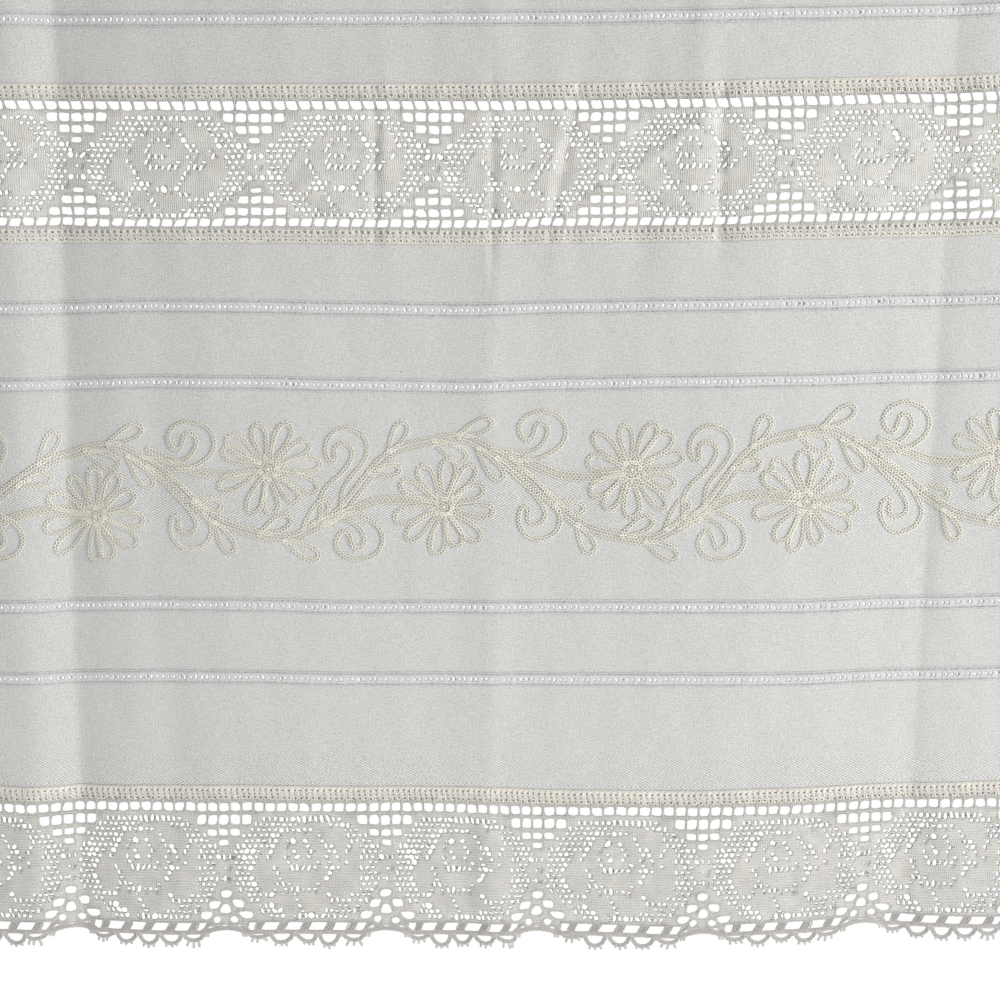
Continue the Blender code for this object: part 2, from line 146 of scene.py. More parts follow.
# Soft unevenness of the cloth between its creases.
Ripple = namedtuple("Ripple", "height across_wave down_wave start")
RIPPLES = (
    Ripple(0.14, 47.0, 190.0, 0.4),
    Ripple(0.10, 29.0, -120.0, 1.9),
    Ripple(0.12, -83.0, 61.0, 2.7),
    Ripple(0.06, 17.0, 260.0, 4.4),
    Ripple(0.07, 210.0, 33.0, 5.2),
    Ripple(0.05, -21.0, 44.0, 0.9),
)

INSERTION_REPEATS = (-322.0, -227.1, -131.0, -35.5, 57.7, 152.7, 248.3, 343.0)
EDGING_REPEATS = (-333.7, -243.8, -155.4, -64.0, 20.8, 114.7, 205.8, 296.0, 386.0)
SQUARES = 14  # open squares along one repeat of either lace
COLUMNS = 28  # mesh holes along one repeat

# Rows of open squares: how many, how far below the footing they start and end, and how the bars lean.
Row = namedtuple("Row", "count start end lean")
INSERTION_UPPER_ROWS = (
    Row(14, 0.4, 5.4, 1.3),
    Row(5, 7.0, 11.6, 0.2),
    Row(3, 13.6, 17.7, 0.4),
    Row(1, 20.0, 22.8, 0.3),
)
INSERTION_LOWER_ROWS = (
    Row(14, 1.0, 5.2, 1.0),
    Row(5, 6.9, 11.0, 0.2),
    Row(3, 13.1, 17.1, 0.2),
    Row(1, 19.2, 21.6, 0.1),
)
EDGING_ROWS = (
    Row(14, 0.9, 5.8, -0.2),
    Row(5, 7.9, 13.5, -0.3),
    Row(3, 16.1, 19.9, 0.0),
    Row(1, 21.9, 25.2, 0.1),
)
SQUARE_BAR = 1.05
BAR_FOOT = -1.0  # where the bars start, on the footing

# The threads of the lace.
PLAIT_STEP = 0.8
TWIST_STEP = 0.7
TWIST_PITCH = 2.3
TWIST_SWING = 0.36
TWIST_RADIUS = 0.37

# The lace patterns, charted on a brick net of 28 holes along one repeat, which runs from the middle of
# one stepped diamond to the next. Every second row is moved half a hole to the right. A dot is close
# linen work, and the other marks are the kinds of hole in MARKS.
INSERTION_CHART = (
    "........ooOolllOlOoooo......",
    "......oooooo''.....oooo.....",
    "......-ooo-oolO'o....-o-....",
    "....ooooooo.....o....-oOl...",
    "....--o-oo..'lo..O..../'o'..",
    "..Ooooooo..o..-..Oo...OooOl.",
    "..--oo-.'../......oo.'..oooo",
    "iQoooo...../ll...o'../.ooo.Q",
    "..-ool../../....-.'.-...ooo.",
    ",.--'...l../////.///...'o'..",
    "..Ooo....l.......l......ooo.",
    "iQOO'....-......o......-oo.Q",
    "..---'...oOl....-......ooo'.",
    "..ooo'..oOo.lB'O......-oOl..",
    "....-oool..'....ll...Oooo...",
    "....oOol.../.....ooooool....",
    "......--'.../......'-oo.....",
    "......oOol..'...-ooool......",
    "........-llllllOlOooo.......",
)
EDGING_CHART = (
    ".......lllOlOLLLLLLlo.......",
    ".....looo-oo'.....ooOl......",
    ".....oo-ooOl-Ooo.....''-....",
    "...oooooOo......o....lool...",
    "....ooo-lO.'B.O..o....loo-..",
    "..lOooooO.'...o..lO..o.'oOl.",
    "..ooOO-.O...o..l..oO.l..loo'",
    "iioOOo.l..l.O.o..o.o...llo.Q",
    "..o-oO.....o....o.-..o...o-.",
    ",.ooO...l..LL//o.oOo...lo-..",
    "..l--....l........O.....'-o.",
    "i'ooO....-.......O.....lOol-",
    "..oloO...nn-....-......'ooo.",
    "..l'oo..-.-lL'o-.......'-o..",
    "....ooolO...'.....O...oo--..",
    "....lo......o.....lloo'ol...",
    "......'lB....o......--.-....",
    "......nlOO...-...lo---l.....",
    "........ooO.'LlBlOlnoo......",
)
Mark = namedtuple("Mark", "width height lean aside")
MARKS = {
    "o": Mark(2.1, 2.0, 0.0, 0.0),
    "-": Mark(2.5, 1.3, 0.0, 0.0),
    "O": Mark(2.8, 2.75, 0.0, 0.0),
    "B": Mark(3.5, 3.5, 0.0, 0.0),
    "'": Mark(1.35, 1.4, 0.0, 0.0),
    ",": Mark(1.7, 1.8, 0.0, -0.5),
    "l": Mark(1.6, 2.9, 0.15, 0.0),
    "L": Mark(2.0, 4.1, 0.3, 0.0),
    "/": Mark(1.65, 3.2, -1.1, 0.0),
    "n": Mark(1.6, 2.9, 0.9, 0.0),
    "i": Mark(1.3, 3.2, 0.0, -0.5),
    "Q": Mark(2.8, 3.0, 0.0, -0.5),
}
INSERTION_CHART_TOP = 9.6
INSERTION_CHART_STEP = 2.86
EDGING_CHART_TOP = 10.3
EDGING_CHART_STEP = 3.11
RIM = 0.5  # from the edge of a hole to the top of the thread round it

# The openings of the fan between two scallops, from the middle of the fan.
Opening = namedtuple("Opening", "name across down width height lean taper power")
FAN = (
    Opening("point", 0.0, 52.9, 6.1, 4.5, -0.4, -0.1, 3.0),
    Opening("left shoulder", -6.5, 59.1, 5.9, 4.7, -1.4, -0.1, 4.5),
    Opening("right shoulder", 6.7, 59.0, 5.9, 4.7, 1.4, -0.1, 4.5),
    Opening("heart", 0.0, 62.3, 5.6, 5.6, 0.0, 0.35, 3.0),
    Opening("left wing", -11.3, 65.8, 6.4, 4.6, -1.8, -0.2, 3.6),
    Opening("right wing", 12.0, 65.5, 7.4, 4.4, 1.2, -0.3, 3.6),
    Opening("left foot", -5.1, 68.4, 4.2, 4.3, -0.6, 0.0, 1.7),
    Opening("right foot", 5.3, 68.4, 4.8, 4.2, 0.6, 0.0, 1.7),
)
FAN_SLITS = (
    Opening("middle slit", -0.7, 72.0, 3.1, 0.9, 0.0, 0.0, 2.0),
    Opening("left slit", -9.4, 72.3, 4.2, 1.5, -0.6, 0.0, 2.0),
    Opening("right slit", 8.8, 71.8, 4.4, 1.6, 0.6, 0.0, 2.0),
)

# The scallop's foot, from the middle of the scallop.
EDGING_REPEAT = 90.0
LOOP_PITCH = 13.1
Gap = namedtuple("Gap", "across width lean")
SLANTED_GAPS = (
    Gap(-30.0, 4.2, 1.0),
    Gap(-1.5 * LOOP_PITCH, 8.6, 2.5),
    Gap(-0.5 * LOOP_PITCH, 8.6, 2.5),
    Gap(0.5 * LOOP_PITCH, 8.6, 2.5),
    Gap(1.5 * LOOP_PITCH, 8.6, 2.5),
    Gap(30.4, 4.6, 2.0),
)
SLANTED_START = 70.0
SLANTED_END = 74.4
BAND_FOOT = 76.8
Loop = namedtuple("Loop", "steps drop picot")
LOOPS = (
    Loop(-2, 2.6, 2.4),
    Loop(-1, 5.6, 1.9),
    Loop(0, 5.6, 1.9),
    Loop(1, 5.6, 1.9),
    Loop(2, 3.6, 3.4),
)
LOOP_REACH = 5.25
LOOP_START = BAND_FOOT - 1.6
PICOT_TURN = math.radians(30.0)
THREE_THREADS = (-0.75, 0.0, 0.75), 0.42  # the offsets and radius of a plait of three
TWO_THREADS = (-0.4, 0.4)
ARCH_TOP = 74.2
ARCH_REACH = 10.6
ARCH_END = 76.2
ARCH_STRUT = ((7.6, 13.6), (69.9, 74.6))  # how far out and how far down it starts and ends

# The embroidery. A unit is one flower with its stretch of vine; it is turned over where it is "high".
# Places in a unit are (across, down) from the middle of a low flower.
Unit = namedtuple("Unit", "across down high")
UNITS = (
    Unit(-325.0, 428.0, True),
    Unit(-223.0, 454.5, False),
    Unit(-127.0, 428.2, True),
    Unit(-30.8, 447.8, False),
    Unit(72.3, 428.6, True),
    Unit(168.4, 446.6, False),
    Unit(274.0, 423.5, True),
    Unit(370.0, 445.0, False),
)
VINE = ((-31.0, -27.5), (-7.7, -36.0), (10.0, -38.5), (23.0, -33.0), (40.0, -22.0))
VINE_CHAINS = (-1.7, 1.7)  # to either side of the vine's middle
STEM = ((-67.0, 9.5), (-52.0, 3.0), (-38.0, -2.5), (-22.0, -4.0), (-6.0, -2.5))
STEM_CHAINS = (-1.3, 1.4)
Leaf = namedtuple("Leaf", "start tip width")
LEAVES = (
    Leaf((-30.0, -29.0), (-21.0, -46.0), 4.0),
    Leaf((-42.0, -18.0), (-25.5, -21.5), 3.6),
    Leaf((-6.0, -37.0), (12.5, -27.5), 4.2),
    Leaf((7.5, -39.0), (26.5, -48.5), 4.2),
    Leaf((18.5, -33.5), (32.0, -16.5), 4.0),
)
FLOWER_RINGS = (1.6, 4.4)
PETALS = 11
PETAL_REACH = 28.4
PETAL_START = 3.8
PETAL_HALF_WIDTH = 4.4
PETAL_SQUASH = 0.94
STEM_SIDE = math.radians(278.0)  # clockwise from straight up, for a low flower
# Each scroll starts and ends on the vine, and its turn is placed for a low and for a high flower.
Scroll = namedtuple("Scroll", "start low high end turn")
UPPER_TURN = (
    *((-9.9, 9.9), (-1.5, 7.3), (3.3, 0.0), (1.6, -5.4), (-2.6, -5.8), (-4.2, -1.5), (-6.5, 3.5)),
    *((-10.7, 1.5), (-12.6, -4.2), (-8.4, -10.0), (0.0, -12.4), (9.4, -9.2), (13.2, -1.5)),
    *((10.0, 6.9), (-1.5, 13.6)),
)
LOWER_TURN = (
    *((-0.9, -21.4), (9.5, -7.5), (12.3, 1.0), (9.1, 8.3), (1.4, 11.4), (-5.2, 9.9), (-9.8, 4.1)),
    *((-10.6, -2.1), (-8.3, -7.1), (-5.2, -5.9), (-5.9, -0.5), (-2.9, 2.9), (2.2, 1.8)),
    *((3.9, -3.6), (-0.9, -12.1), (-12.5, -24.4)),
)
SCROLLS = (
    Scroll((25.1, -32.3), (54.0, -39.5), (49.5, -37.0), (40.5, -25.0), UPPER_TURN),
    Scroll((39.9, -22.6), (52.0, 7.3), (42.5, 12.0), (28.5, -27.5), LOWER_TURN),
)
STITCH = 1.9

# The twill bands woven into the cloth.
Band = namedtuple("Band", "start centre end")
TWILL_BANDS = (Band(427.0, 443.0, 459.0), Band(590.0, 606.0, 640.0))
TWILL_PITCH = 1.25
TWILL_ANGLE = math.radians(30.0)
WEAVE_PITCH = 0.55
FLECK_PITCH = 9.0

HEM = 6.0
HEM_SWELL = 0.12  # how much further a hem stands out on each side
SEWING_PITCH = 2.4


# Shape of the hanging cloth.


def smooth(share):
    share = np.clip(share, 0.0, 1.0)
    return share * share * (3.0 - 2.0 * share)


def fold_depth(across, down):
    """How far back the cloth lies, the sum of its folds."""
    depth = np.zeros(len(across))
    for fold in FOLDS:
        centre = fold.across_top + (fold.across_hem - fold.across_top) * down / HEIGHT
        side = across - centre
        reach = np.abs(side) / np.where(side < 0.0, fold.left, fold.right)
        if fold.pressed:
            profile = np.exp(CREASE_ROUND - np.sqrt(reach * reach + CREASE_ROUND * CREASE_ROUND))
        else:
            profile = np.exp(-reach * reach)
        shown = smooth((down - fold.start) / FADE + 1.0) * smooth((fold.end - down) / FADE + 1.0)
        depth += fold.depth * profile * shown
    for ripple in RIPPLES:
        turn = math.tau * (across / ripple.across_wave + down / ripple.down_wave) + ripple.start
        depth += ripple.height * np.sin(turn)
    return depth


def between(stations, values, at):
    """Reads values at the stations, easing smoothly from one station to the next."""
    stations = np.asarray(stations)
    first = np.clip(np.searchsorted(stations, at) - 1, 0, len(stations) - 2)
    share = smooth((at - stations[first]) / (stations[first + 1] - stations[first]))
    if values.ndim == 2:
        column = np.arange(len(at))
        low, high = values[first, column], values[first + 1, column]
    else:
        low, high = values[first], values[first + 1]
    return low + (high - low) * share


def lift(across, down):
    """How far the cloth is drawn up at each place."""
    stations = [row.across for row in HANG]
    columns = np.array([row[1:] for row in HANG]).T
    heights = np.array([between(stations, column, across) for column in columns])
    return between(HANG_DOWN, heights, down)


def place(points):
    """Turns (across, down, out) in millimetres into points of the frame in metres."""
    across, down, out = points.T
    placed = np.stack((across, fold_depth(across, down) - out, lift(across, down) - down), axis=1)
    return placed * MM


# Meshes.


class Shape:
    """Collects points and faces until they become one mesh object."""

    def __init__(self):
        self.points = []
        self.shades = []
        self.faces = {3: [], 4: []}
        self.count = 0

    def add(self, points, faces, shade=0.0):
        points = np.asarray(points, dtype=float).reshape(-1, 3)
        faces = np.asarray(faces, dtype=int)
        self.points.append(points)
        self.shades.append(np.broadcast_to(shade, len(points)))
        self.faces[faces.shape[1]].append(faces + self.count)
        self.count += len(points)

    def add_faces(self, faces, base):
        self.faces[faces.shape[1]].append(faces + base)

    def build(self, name, finish):
        points = np.concatenate(self.points)
        corners, starts, at = [], [], 0
        for size, groups in self.faces.items():
            if groups:
                faces = np.concatenate(groups)
                corners.append(faces.ravel())
                starts.append(at + size * np.arange(len(faces)))
                at += faces.size
        corners = np.concatenate(corners).astype(np.int32)
        starts = np.concatenate(starts).astype(np.int32)
        mesh = bpy.data.meshes.new(name)
        mesh.vertices.add(len(points))
        mesh.vertices.foreach_set("co", place(points).ravel().astype(np.float32))
        mesh.loops.add(len(corners))
        mesh.loops.foreach_set("vertex_index", corners)
        mesh.polygons.add(len(starts))
        mesh.polygons.foreach_set("loop_start", starts)
        mesh.update(calc_edges=True)
        flat = mesh.uv_layers.new(name="flat")
        flat.data.foreach_set("uv", (points[:, :2] * MM)[corners].ravel().astype(np.float32))
        # Painted shade of each point, which the finishes read to darken the colour.
        shade = mesh.attributes.new("shade", "FLOAT", "POINT")
        shade.data.foreach_set("value", np.concatenate(self.shades).astype(np.float32))
        mesh.materials.append(finish)
        mesh.shade_smooth()
        mesh.set_sharp_from_angle(angle=math.radians(60.0))
        made = bpy.data.objects.new(name, mesh)
        bpy.context.scene.collection.objects.link(made)
        return made


def add_sheet(shape, flat, faces, front, back, shade=0.0):
    """Closes a flat mesh into a thin sheet with a wall along every open edge."""
    count = len(flat)
    base = shape.count
    points = np.zeros((2 * count, 3))
    points[:count, :2] = flat
    points[count:, :2] = flat
    points[:count, 2] = front
    points[count:, 2] = back
    both = np.tile(np.broadcast_to(shade, count), 2)
    shape.add(points, faces, both)
    shape.add_faces(faces[:, ::-1] + count, base)
    starts = faces.ravel()
    ends = np.roll(faces, -1, axis=1).ravel()
    is_open = ~np.isin(starts * count + ends, ends * count + starts)
    start, end = starts[is_open], ends[is_open]
    shape.add_faces(np.stack((end, start, start + count, end + count), axis=1), base)


def grid(columns, rows):
    """A flat grid of points and its quads, anticlockwise as seen from the room."""
    across, down = np.meshgrid(columns, rows)
    flat = np.stack((across.ravel(), down.ravel()), axis=1)
    width = len(columns)
    upper = (np.arange(len(rows) - 1)[:, None] * width + np.arange(width - 1)[None, :]).ravel()
    quads = np.stack((upper, upper + width, upper + width + 1, upper + 1), axis=1)
    return flat, quads


def hole(random, width, height, lean, sides, power, rough, taper=0.0):
    """The outline of one opening round (0, 0), a rounded and slightly uneven shape."""
    turn = math.tau * (np.arange(sides) + 0.5) / sides
    side, drop = np.cos(turn), np.sin(turn)
    size = (np.abs(side) ** power + np.abs(drop) ** power) ** (-1.0 / power)
    side, drop = side * size, drop * size
    rise, slant, spread = random.normal(0.0, rough, 3)
    side, drop = side * (1.0 + spread * drop) + slant * drop, drop + rise * side
    side = side + random.uniform(-rough, rough, sides)
    drop = drop + random.uniform(-rough, rough, sides)
    side = side * (1.0 + taper * drop)
    return np.stack((0.5 * width * side + 0.5 * lean * drop, 0.5 * height * drop), axis=1)


class Lace:
    """A pierced sheet, built from its outline, its openings and loose points between them, each point with
    its painted shade.
    """

    def __init__(self, outline, edge_shade=0.3):
        self.outline = np.asarray(outline, dtype=float)
        self.points = [self.outline]
        self.outs = [np.zeros(len(outline))]
        # Painted shade along the outline.
        self.shades = [np.full(len(outline), edge_shade)]
        self.faces = [list(range(len(outline)))]
        self.count = len(outline)
        self.centres = []
        self.reaches = []

    def open(self, corners, rim=RIM, raised=0.16, edge_shade=1.0):
        """Cuts one opening with painted shade at its edge, and sets a raised thread round it with a little
        painted light.
        """
        if np.abs(corners[:, 0]).max() > HALF_WIDTH - 1.2:
            return
        ahead = np.roll(corners, -1, axis=0)
        if (corners[:, 0] * ahead[:, 1] - corners[:, 1] * ahead[:, 0]).sum() > 0.0:
            corners = corners[::-1]
        self.faces.append(list(range(self.count, self.count + len(corners))))
        # Painted shade at the opening's edge.
        self._add(corners, -0.05, edge_shade)
        centre = corners.mean(axis=0)
        away = corners - centre
        length = np.linalg.norm(away, axis=1, keepdims=True)
        if rim > 0.0:
            # A little painted light on the raised thread round the opening.
            self._add(corners + away / length * rim, raised, -0.1)
        self.centres.append(centre)
        self.reaches.append(np.abs(away).max(axis=0) + rim)

    def loose(self, points, out, shade):
        """Adds points inside the sheet, where they are clear of every opening."""
        points = np.asarray(points, dtype=float)
        kept = np.abs(points[:, 0]) < HALF_WIDTH - 0.8
        for centre, reach in zip(self.centres, self.reaches):
            near = (np.abs(points - centre) / (reach + 0.12)) ** 2
            kept &= near.sum(axis=1) > 1.0
        out = np.broadcast_to(out, len(points))
        shade = np.broadcast_to(shade, len(points))
        self._add(points[kept], out[kept], shade[kept])

    def _add(self, points, out, shade):
        self.points.append(points)
        self.outs.append(np.broadcast_to(out, len(points)))
        self.shades.append(np.broadcast_to(shade, len(points)))
        self.count += len(points)

    def add_to(self, shape, front, back):
        points = np.concatenate(self.points)
        outs = np.concatenate(self.outs)
        shades = np.concatenate(self.shades)
        flat = [Vector((across, -down)) for across, down in points]
        made = delaunay_2d_cdt(flat, [], self.faces, 1, 1e-4, True)
        corners = np.array([(v.x, v.y) for v in made[0]])
        source = np.array([ids[0] if ids else -1 for ids in made[3]])
        kept = [face for face, owner in zip(made[2], made[5]) if list(owner) == [0] and len(face) == 3]
        faces = np.array(kept)
        first, second, third = (corners[faces[:, i]] for i in range(3))
        ahead, aside = second - first, third - first
        turned = ahead[:, 0] * aside[:, 1] - ahead[:, 1] * aside[:, 0] < 0.0
        faces[turned] = faces[turned][:, ::-1]
        used, faces = np.unique(faces, return_inverse=True)
        faces = faces.reshape(-1, 3)
        flat = corners[used] * (1.0, -1.0)
        known = source[used] >= 0
        out = np.where(known, outs[source[used]], 0.0)
        shade = np.where(known, shades[source[used]], 0.0)
        add_sheet(shape, flat, faces, front + out, back - 0.3 * out, shade)


def resample(path, step, closed=False):
    """Evenly spaced points along a path."""
    path = np.asarray(path, dtype=float)
    if closed:
        path = np.vstack((path, path[:1]))
    lengths = np.linalg.norm(np.diff(path, axis=0), axis=1)
    run = np.concatenate(((0.0,), np.cumsum(lengths)))
    count = max(2, int(round(run[-1] / step)) + 1)
    at = np.linspace(0.0, run[-1], count)
    even = np.stack([np.interp(at, run, column) for column in path.T], axis=1)
    return even[:-1] if closed else even


def curve(spots, steps=10):
    """A smooth curve through the spots (Catmull-Rom)."""
    spots = np.asarray(spots, dtype=float)
    padded = np.vstack((2.0 * spots[0] - spots[1], spots, 2.0 * spots[-1] - spots[-2]))
    share = np.linspace(0.0, 1.0, steps, endpoint=False)[:, None]
    run = []
    for before, start, end, after in zip(padded, padded[1:], padded[2:], padded[3:]):
        bend = 2.0 * before - 5.0 * start + 4.0 * end - after
        twist = 3.0 * (start - end) + after - before
        run.append(0.5 * (2.0 * start + (end - before) * share + bend * share**2 + twist * share**3))
    return np.vstack(run + [spots[-1:]])


def directions(path, closed=False):
    """The unit direction and the unit sideways direction at every point of a flat path."""
    if closed:
        ahead = np.roll(path, -1, axis=0) - np.roll(path, 1, axis=0)
    else:
        ahead = np.gradient(path, axis=0)
    ahead /= np.maximum(np.linalg.norm(ahead, axis=1, keepdims=True), 1e-9)
    return ahead, np.stack((-ahead[:, 1], ahead[:, 0]), axis=1)


def add_thread(shape, path, radius, sides=5, closed=False):
    """A round thread along a path of (across, down, out), with painted shade on its sides and back."""
    _, aside = directions(path[:, :2], closed)
    turn = math.tau * np.arange(sides) / sides
    radius = np.broadcast_to(radius, len(path))
    ring = np.zeros((len(path), sides, 3))
    ring[:, :, :2] = aside[:, None, :] * (np.cos(turn)[None, :, None] * radius[:, None, None])
    ring[:, :, 2] = np.sin(turn)[None, :] * radius[:, None]
    ring += path[:, None, :]
    last = len(path) if closed else len(path) - 1
    here = (np.arange(last)[:, None] * sides + np.arange(sides)[None, :]).ravel()
    beside = (np.arange(last)[:, None] * sides + (np.arange(sides)[None, :] + 1) % sides).ravel()
    total = len(path) * sides
    quads = np.stack((here, beside, (beside + sides) % total, (here + sides) % total), axis=1)
    # Painted shade: full at the thread's sides and back, none on its top.
    shape.add(ring.reshape(-1, 3), quads, np.tile(1.0 - np.maximum(np.sin(turn), 0.0), len(path)))
    if not closed:
        ends = np.arange(sides)
        first = np.stack((np.full(sides - 2, 0), ends[2:], ends[1:-1]), axis=1)
        second = np.stack((np.full(sides - 2, 0), ends[1:-1], ends[2:]), axis=1) + total - sides
        shape.add_faces(first, shape.count - total)
        shape.add_faces(second, shape.count - total)


def add_plait(shape, path, offsets, radius, closed=False):
    """Threads that run side by side along a flat path."""
    path = resample(path, PLAIT_STEP, closed)
    _, aside = directions(path, closed)
    sway = 0.1 * np.sin(1.7 * np.arange(len(path)))
    for number, offset in enumerate(offsets):
        run = np.full((len(path), 3), THREAD_OUT + 0.1 * (number % 2))
        run[:, :2] = path + aside * (offset + sway * (-1.0) ** number)[:, None]
        add_thread(shape, run, radius, 4, closed)


def add_twist(shape, path, start):
    """Two strands twisted round a flat path."""
    path = resample(path, TWIST_STEP)
    _, aside = directions(path)
    along = TWIST_STEP * np.arange(len(path))
    for strand in range(2):
        turn = math.tau * (along / TWIST_PITCH + strand / 2) + start
        run = np.zeros((len(path), 3))
        run[:, :2] = path + aside * (TWIST_SWING * np.cos(turn))[:, None]
        run[:, 2] = THREAD_OUT + 0.5 * TWIST_SWING * np.sin(turn)
        add_thread(shape, run, TWIST_RADIUS, 4)


# Materials.


class Finish:
    """A node material, with short ways to write sums in its nodes."""

    def __init__(self, name, roughness, sheen):
        self.material = bpy.data.materials.new(name)
        self.material.use_nodes = True
        self.tree = self.material.node_tree
        self.shader = self.tree.nodes["Principled BSDF"]
        self.shader.inputs["Roughness"].default_value = roughness
        self.shader.inputs["Sheen Weight"].default_value = sheen
        self.shader.inputs["Sheen Roughness"].default_value = 0.6
        self.shader.inputs["Specular IOR Level"].default_value = 0.25
        flat = self.node("ShaderNodeUVMap")
        flat.uv_map = "flat"
        apart = self.node("ShaderNodeSeparateXYZ")
        self.link(flat.outputs["UV"], apart.inputs["Vector"])
        self.across = self.times(apart.outputs["X"], 1.0 / MM)
        self.down = self.times(apart.outputs["Y"], 1.0 / MM)

    def node(self, kind):
        return self.tree.nodes.new(kind)

    def link(self, source, target):
        self.tree.links.new(source, target)

    def math(self, operation, *values):
        made = self.node("ShaderNodeMath")
        made.operation = operation
        for socket, value in zip(made.inputs, values):
            if isinstance(value, (int, float)):
                socket.default_value = value
            else:
                self.link(value, socket)
        return made.outputs["Value"]

    def times(self, value, share):
        return self.math("MULTIPLY", value, share)

    def plus(self, value, more):
        return self.math("ADD", value, more)

    def add(self, value, share, base):
        """A share of the value, on top of the base."""
        return self.math("MULTIPLY_ADD", value, share, base)

    def total(self, base, *parts):
        """The base and a share of each part, given as (value, share)."""
        for value, share in parts:
            base = self.add(value, share, base)
        return base

    def wave(self, value, pitch):
        return self.math("SINE", self.times(value, math.tau / pitch))

    def spots(self, kind, across_size, down_size, shift=0.0):
        """A texture node on the flat cloth, whose spots have the given size in millimetres."""
        joined = self.node("ShaderNodeCombineXYZ")
        self.link(self.math("DIVIDE", self.across, across_size), joined.inputs["X"])
        self.link(self.math("DIVIDE", self.down, down_size), joined.inputs["Y"])
        joined.inputs["Z"].default_value = shift
        made = self.node(kind)
        made.inputs["Scale"].default_value = 1.0
        self.link(joined.outputs["Vector"], made.inputs["Vector"])
        return made

    def noise(self, across_size, down_size, detail=2.0, shift=0.0):
        """Uneven values round zero."""
        made = self.spots("ShaderNodeTexNoise", across_size, down_size, shift)
        made.inputs["Detail"].default_value = detail
        return self.math("SUBTRACT", made.outputs["Fac"], 0.5)

    def range(self, value, low, high, blur):
        """1 between low and high, falling to 0 within blur of them."""
        rise = self.add(value, 1.0 / blur, 0.5 - low / blur)
        fall = self.add(value, -1.0 / blur, 0.5 + high / blur)
        share = self.math("MINIMUM", rise, fall)
        return self.math("MINIMUM", self.math("MAXIMUM", share, 0.0), 1.0)

    def shade(self):
        """The painted shade that the mesh gives each place; below zero it is a little painted light."""
        made = self.node("ShaderNodeAttribute")
        made.attribute_name = "shade"
        return made.outputs["Fac"]

    def edge(self):
        """The same painted shade with a sharper fall, so that it reads as a narrow dark edge."""
        steep = self.add(self.shade(), 1.9, -0.4)
        return self.math("MINIMUM", self.math("MAXIMUM", steep, -0.1), 1.0)

    def mix(self, dark, light, share):
        """A colour that goes from dark to light with a share."""
        made = self.node("ShaderNodeMix")
        made.data_type = "RGBA"
        made.inputs["A"].default_value = (*dark, 1.0)
        made.inputs["B"].default_value = (*light, 1.0)
        self.link(share, made.inputs["Factor"])
        return made.outputs["Result"]

    def paint(self, colour, factor):
        """The colour, plain or mixed, made lighter or darker by a factor."""
        made = self.node("ShaderNodeVectorMath")
        made.operation = "SCALE"
        if isinstance(colour, tuple):
            made.inputs[0].default_value = colour
        else:
            self.link(colour, made.inputs[0])
        self.link(factor, made.inputs["Scale"])
        self.link(made.outputs["Vector"], self.shader.inputs["Base Color"])

    def bump(self, height, depth):
        """Relief whose height of 1 stands depth millimetres proud."""
        made = self.node("ShaderNodeBump")
        made.inputs["Strength"].default_value = 1.0
        made.inputs["Distance"].default_value = depth * MM
        self.link(height, made.inputs["Height"])
        self.link(made.outputs["Normal"], self.shader.inputs["Normal"])


def twill(cloth, band):
    """The slanting ribs of one twill band, which turn back at its centre."""
    inside = cloth.range(cloth.down, band.start, band.end, 0.8)
    off = cloth.math("ABSOLUTE", cloth.math("SUBTRACT", cloth.down, band.centre))
    along = cloth.times(off, math.cos(TWILL_ANGLE))
    phase = cloth.plus(along, cloth.times(cloth.across, math.sin(TWILL_ANGLE)))
    wobble = cloth.times(cloth.noise(5.0, 5.0, shift=11.0), 0.7)
    return cloth.times(cloth.wave(cloth.plus(phase, wobble), TWILL_PITCH), inside)


def flecks(cloth):
    """Seed flecks: 1 inside a few small spots of uneven size."""
    made = cloth.spots("ShaderNodeTexVoronoi", FLECK_PITCH, FLECK_PITCH)
    tint = cloth.node("ShaderNodeSeparateColor")
    cloth.link(made.outputs["Color"], tint.inputs["Color"])
    return cloth.math("LESS_THAN", made.outputs["Distance"], cloth.times(tint.outputs["Red"], 0.07))


def dashes(cloth, value, seam, along):
    """A row of stitches where the value is near the seam."""
    near = cloth.range(value, seam - 0.4, seam + 0.4, 0.5)
    return cloth.times(near, cloth.add(cloth.wave(along, SEWING_PITCH), 0.5, 0.5))


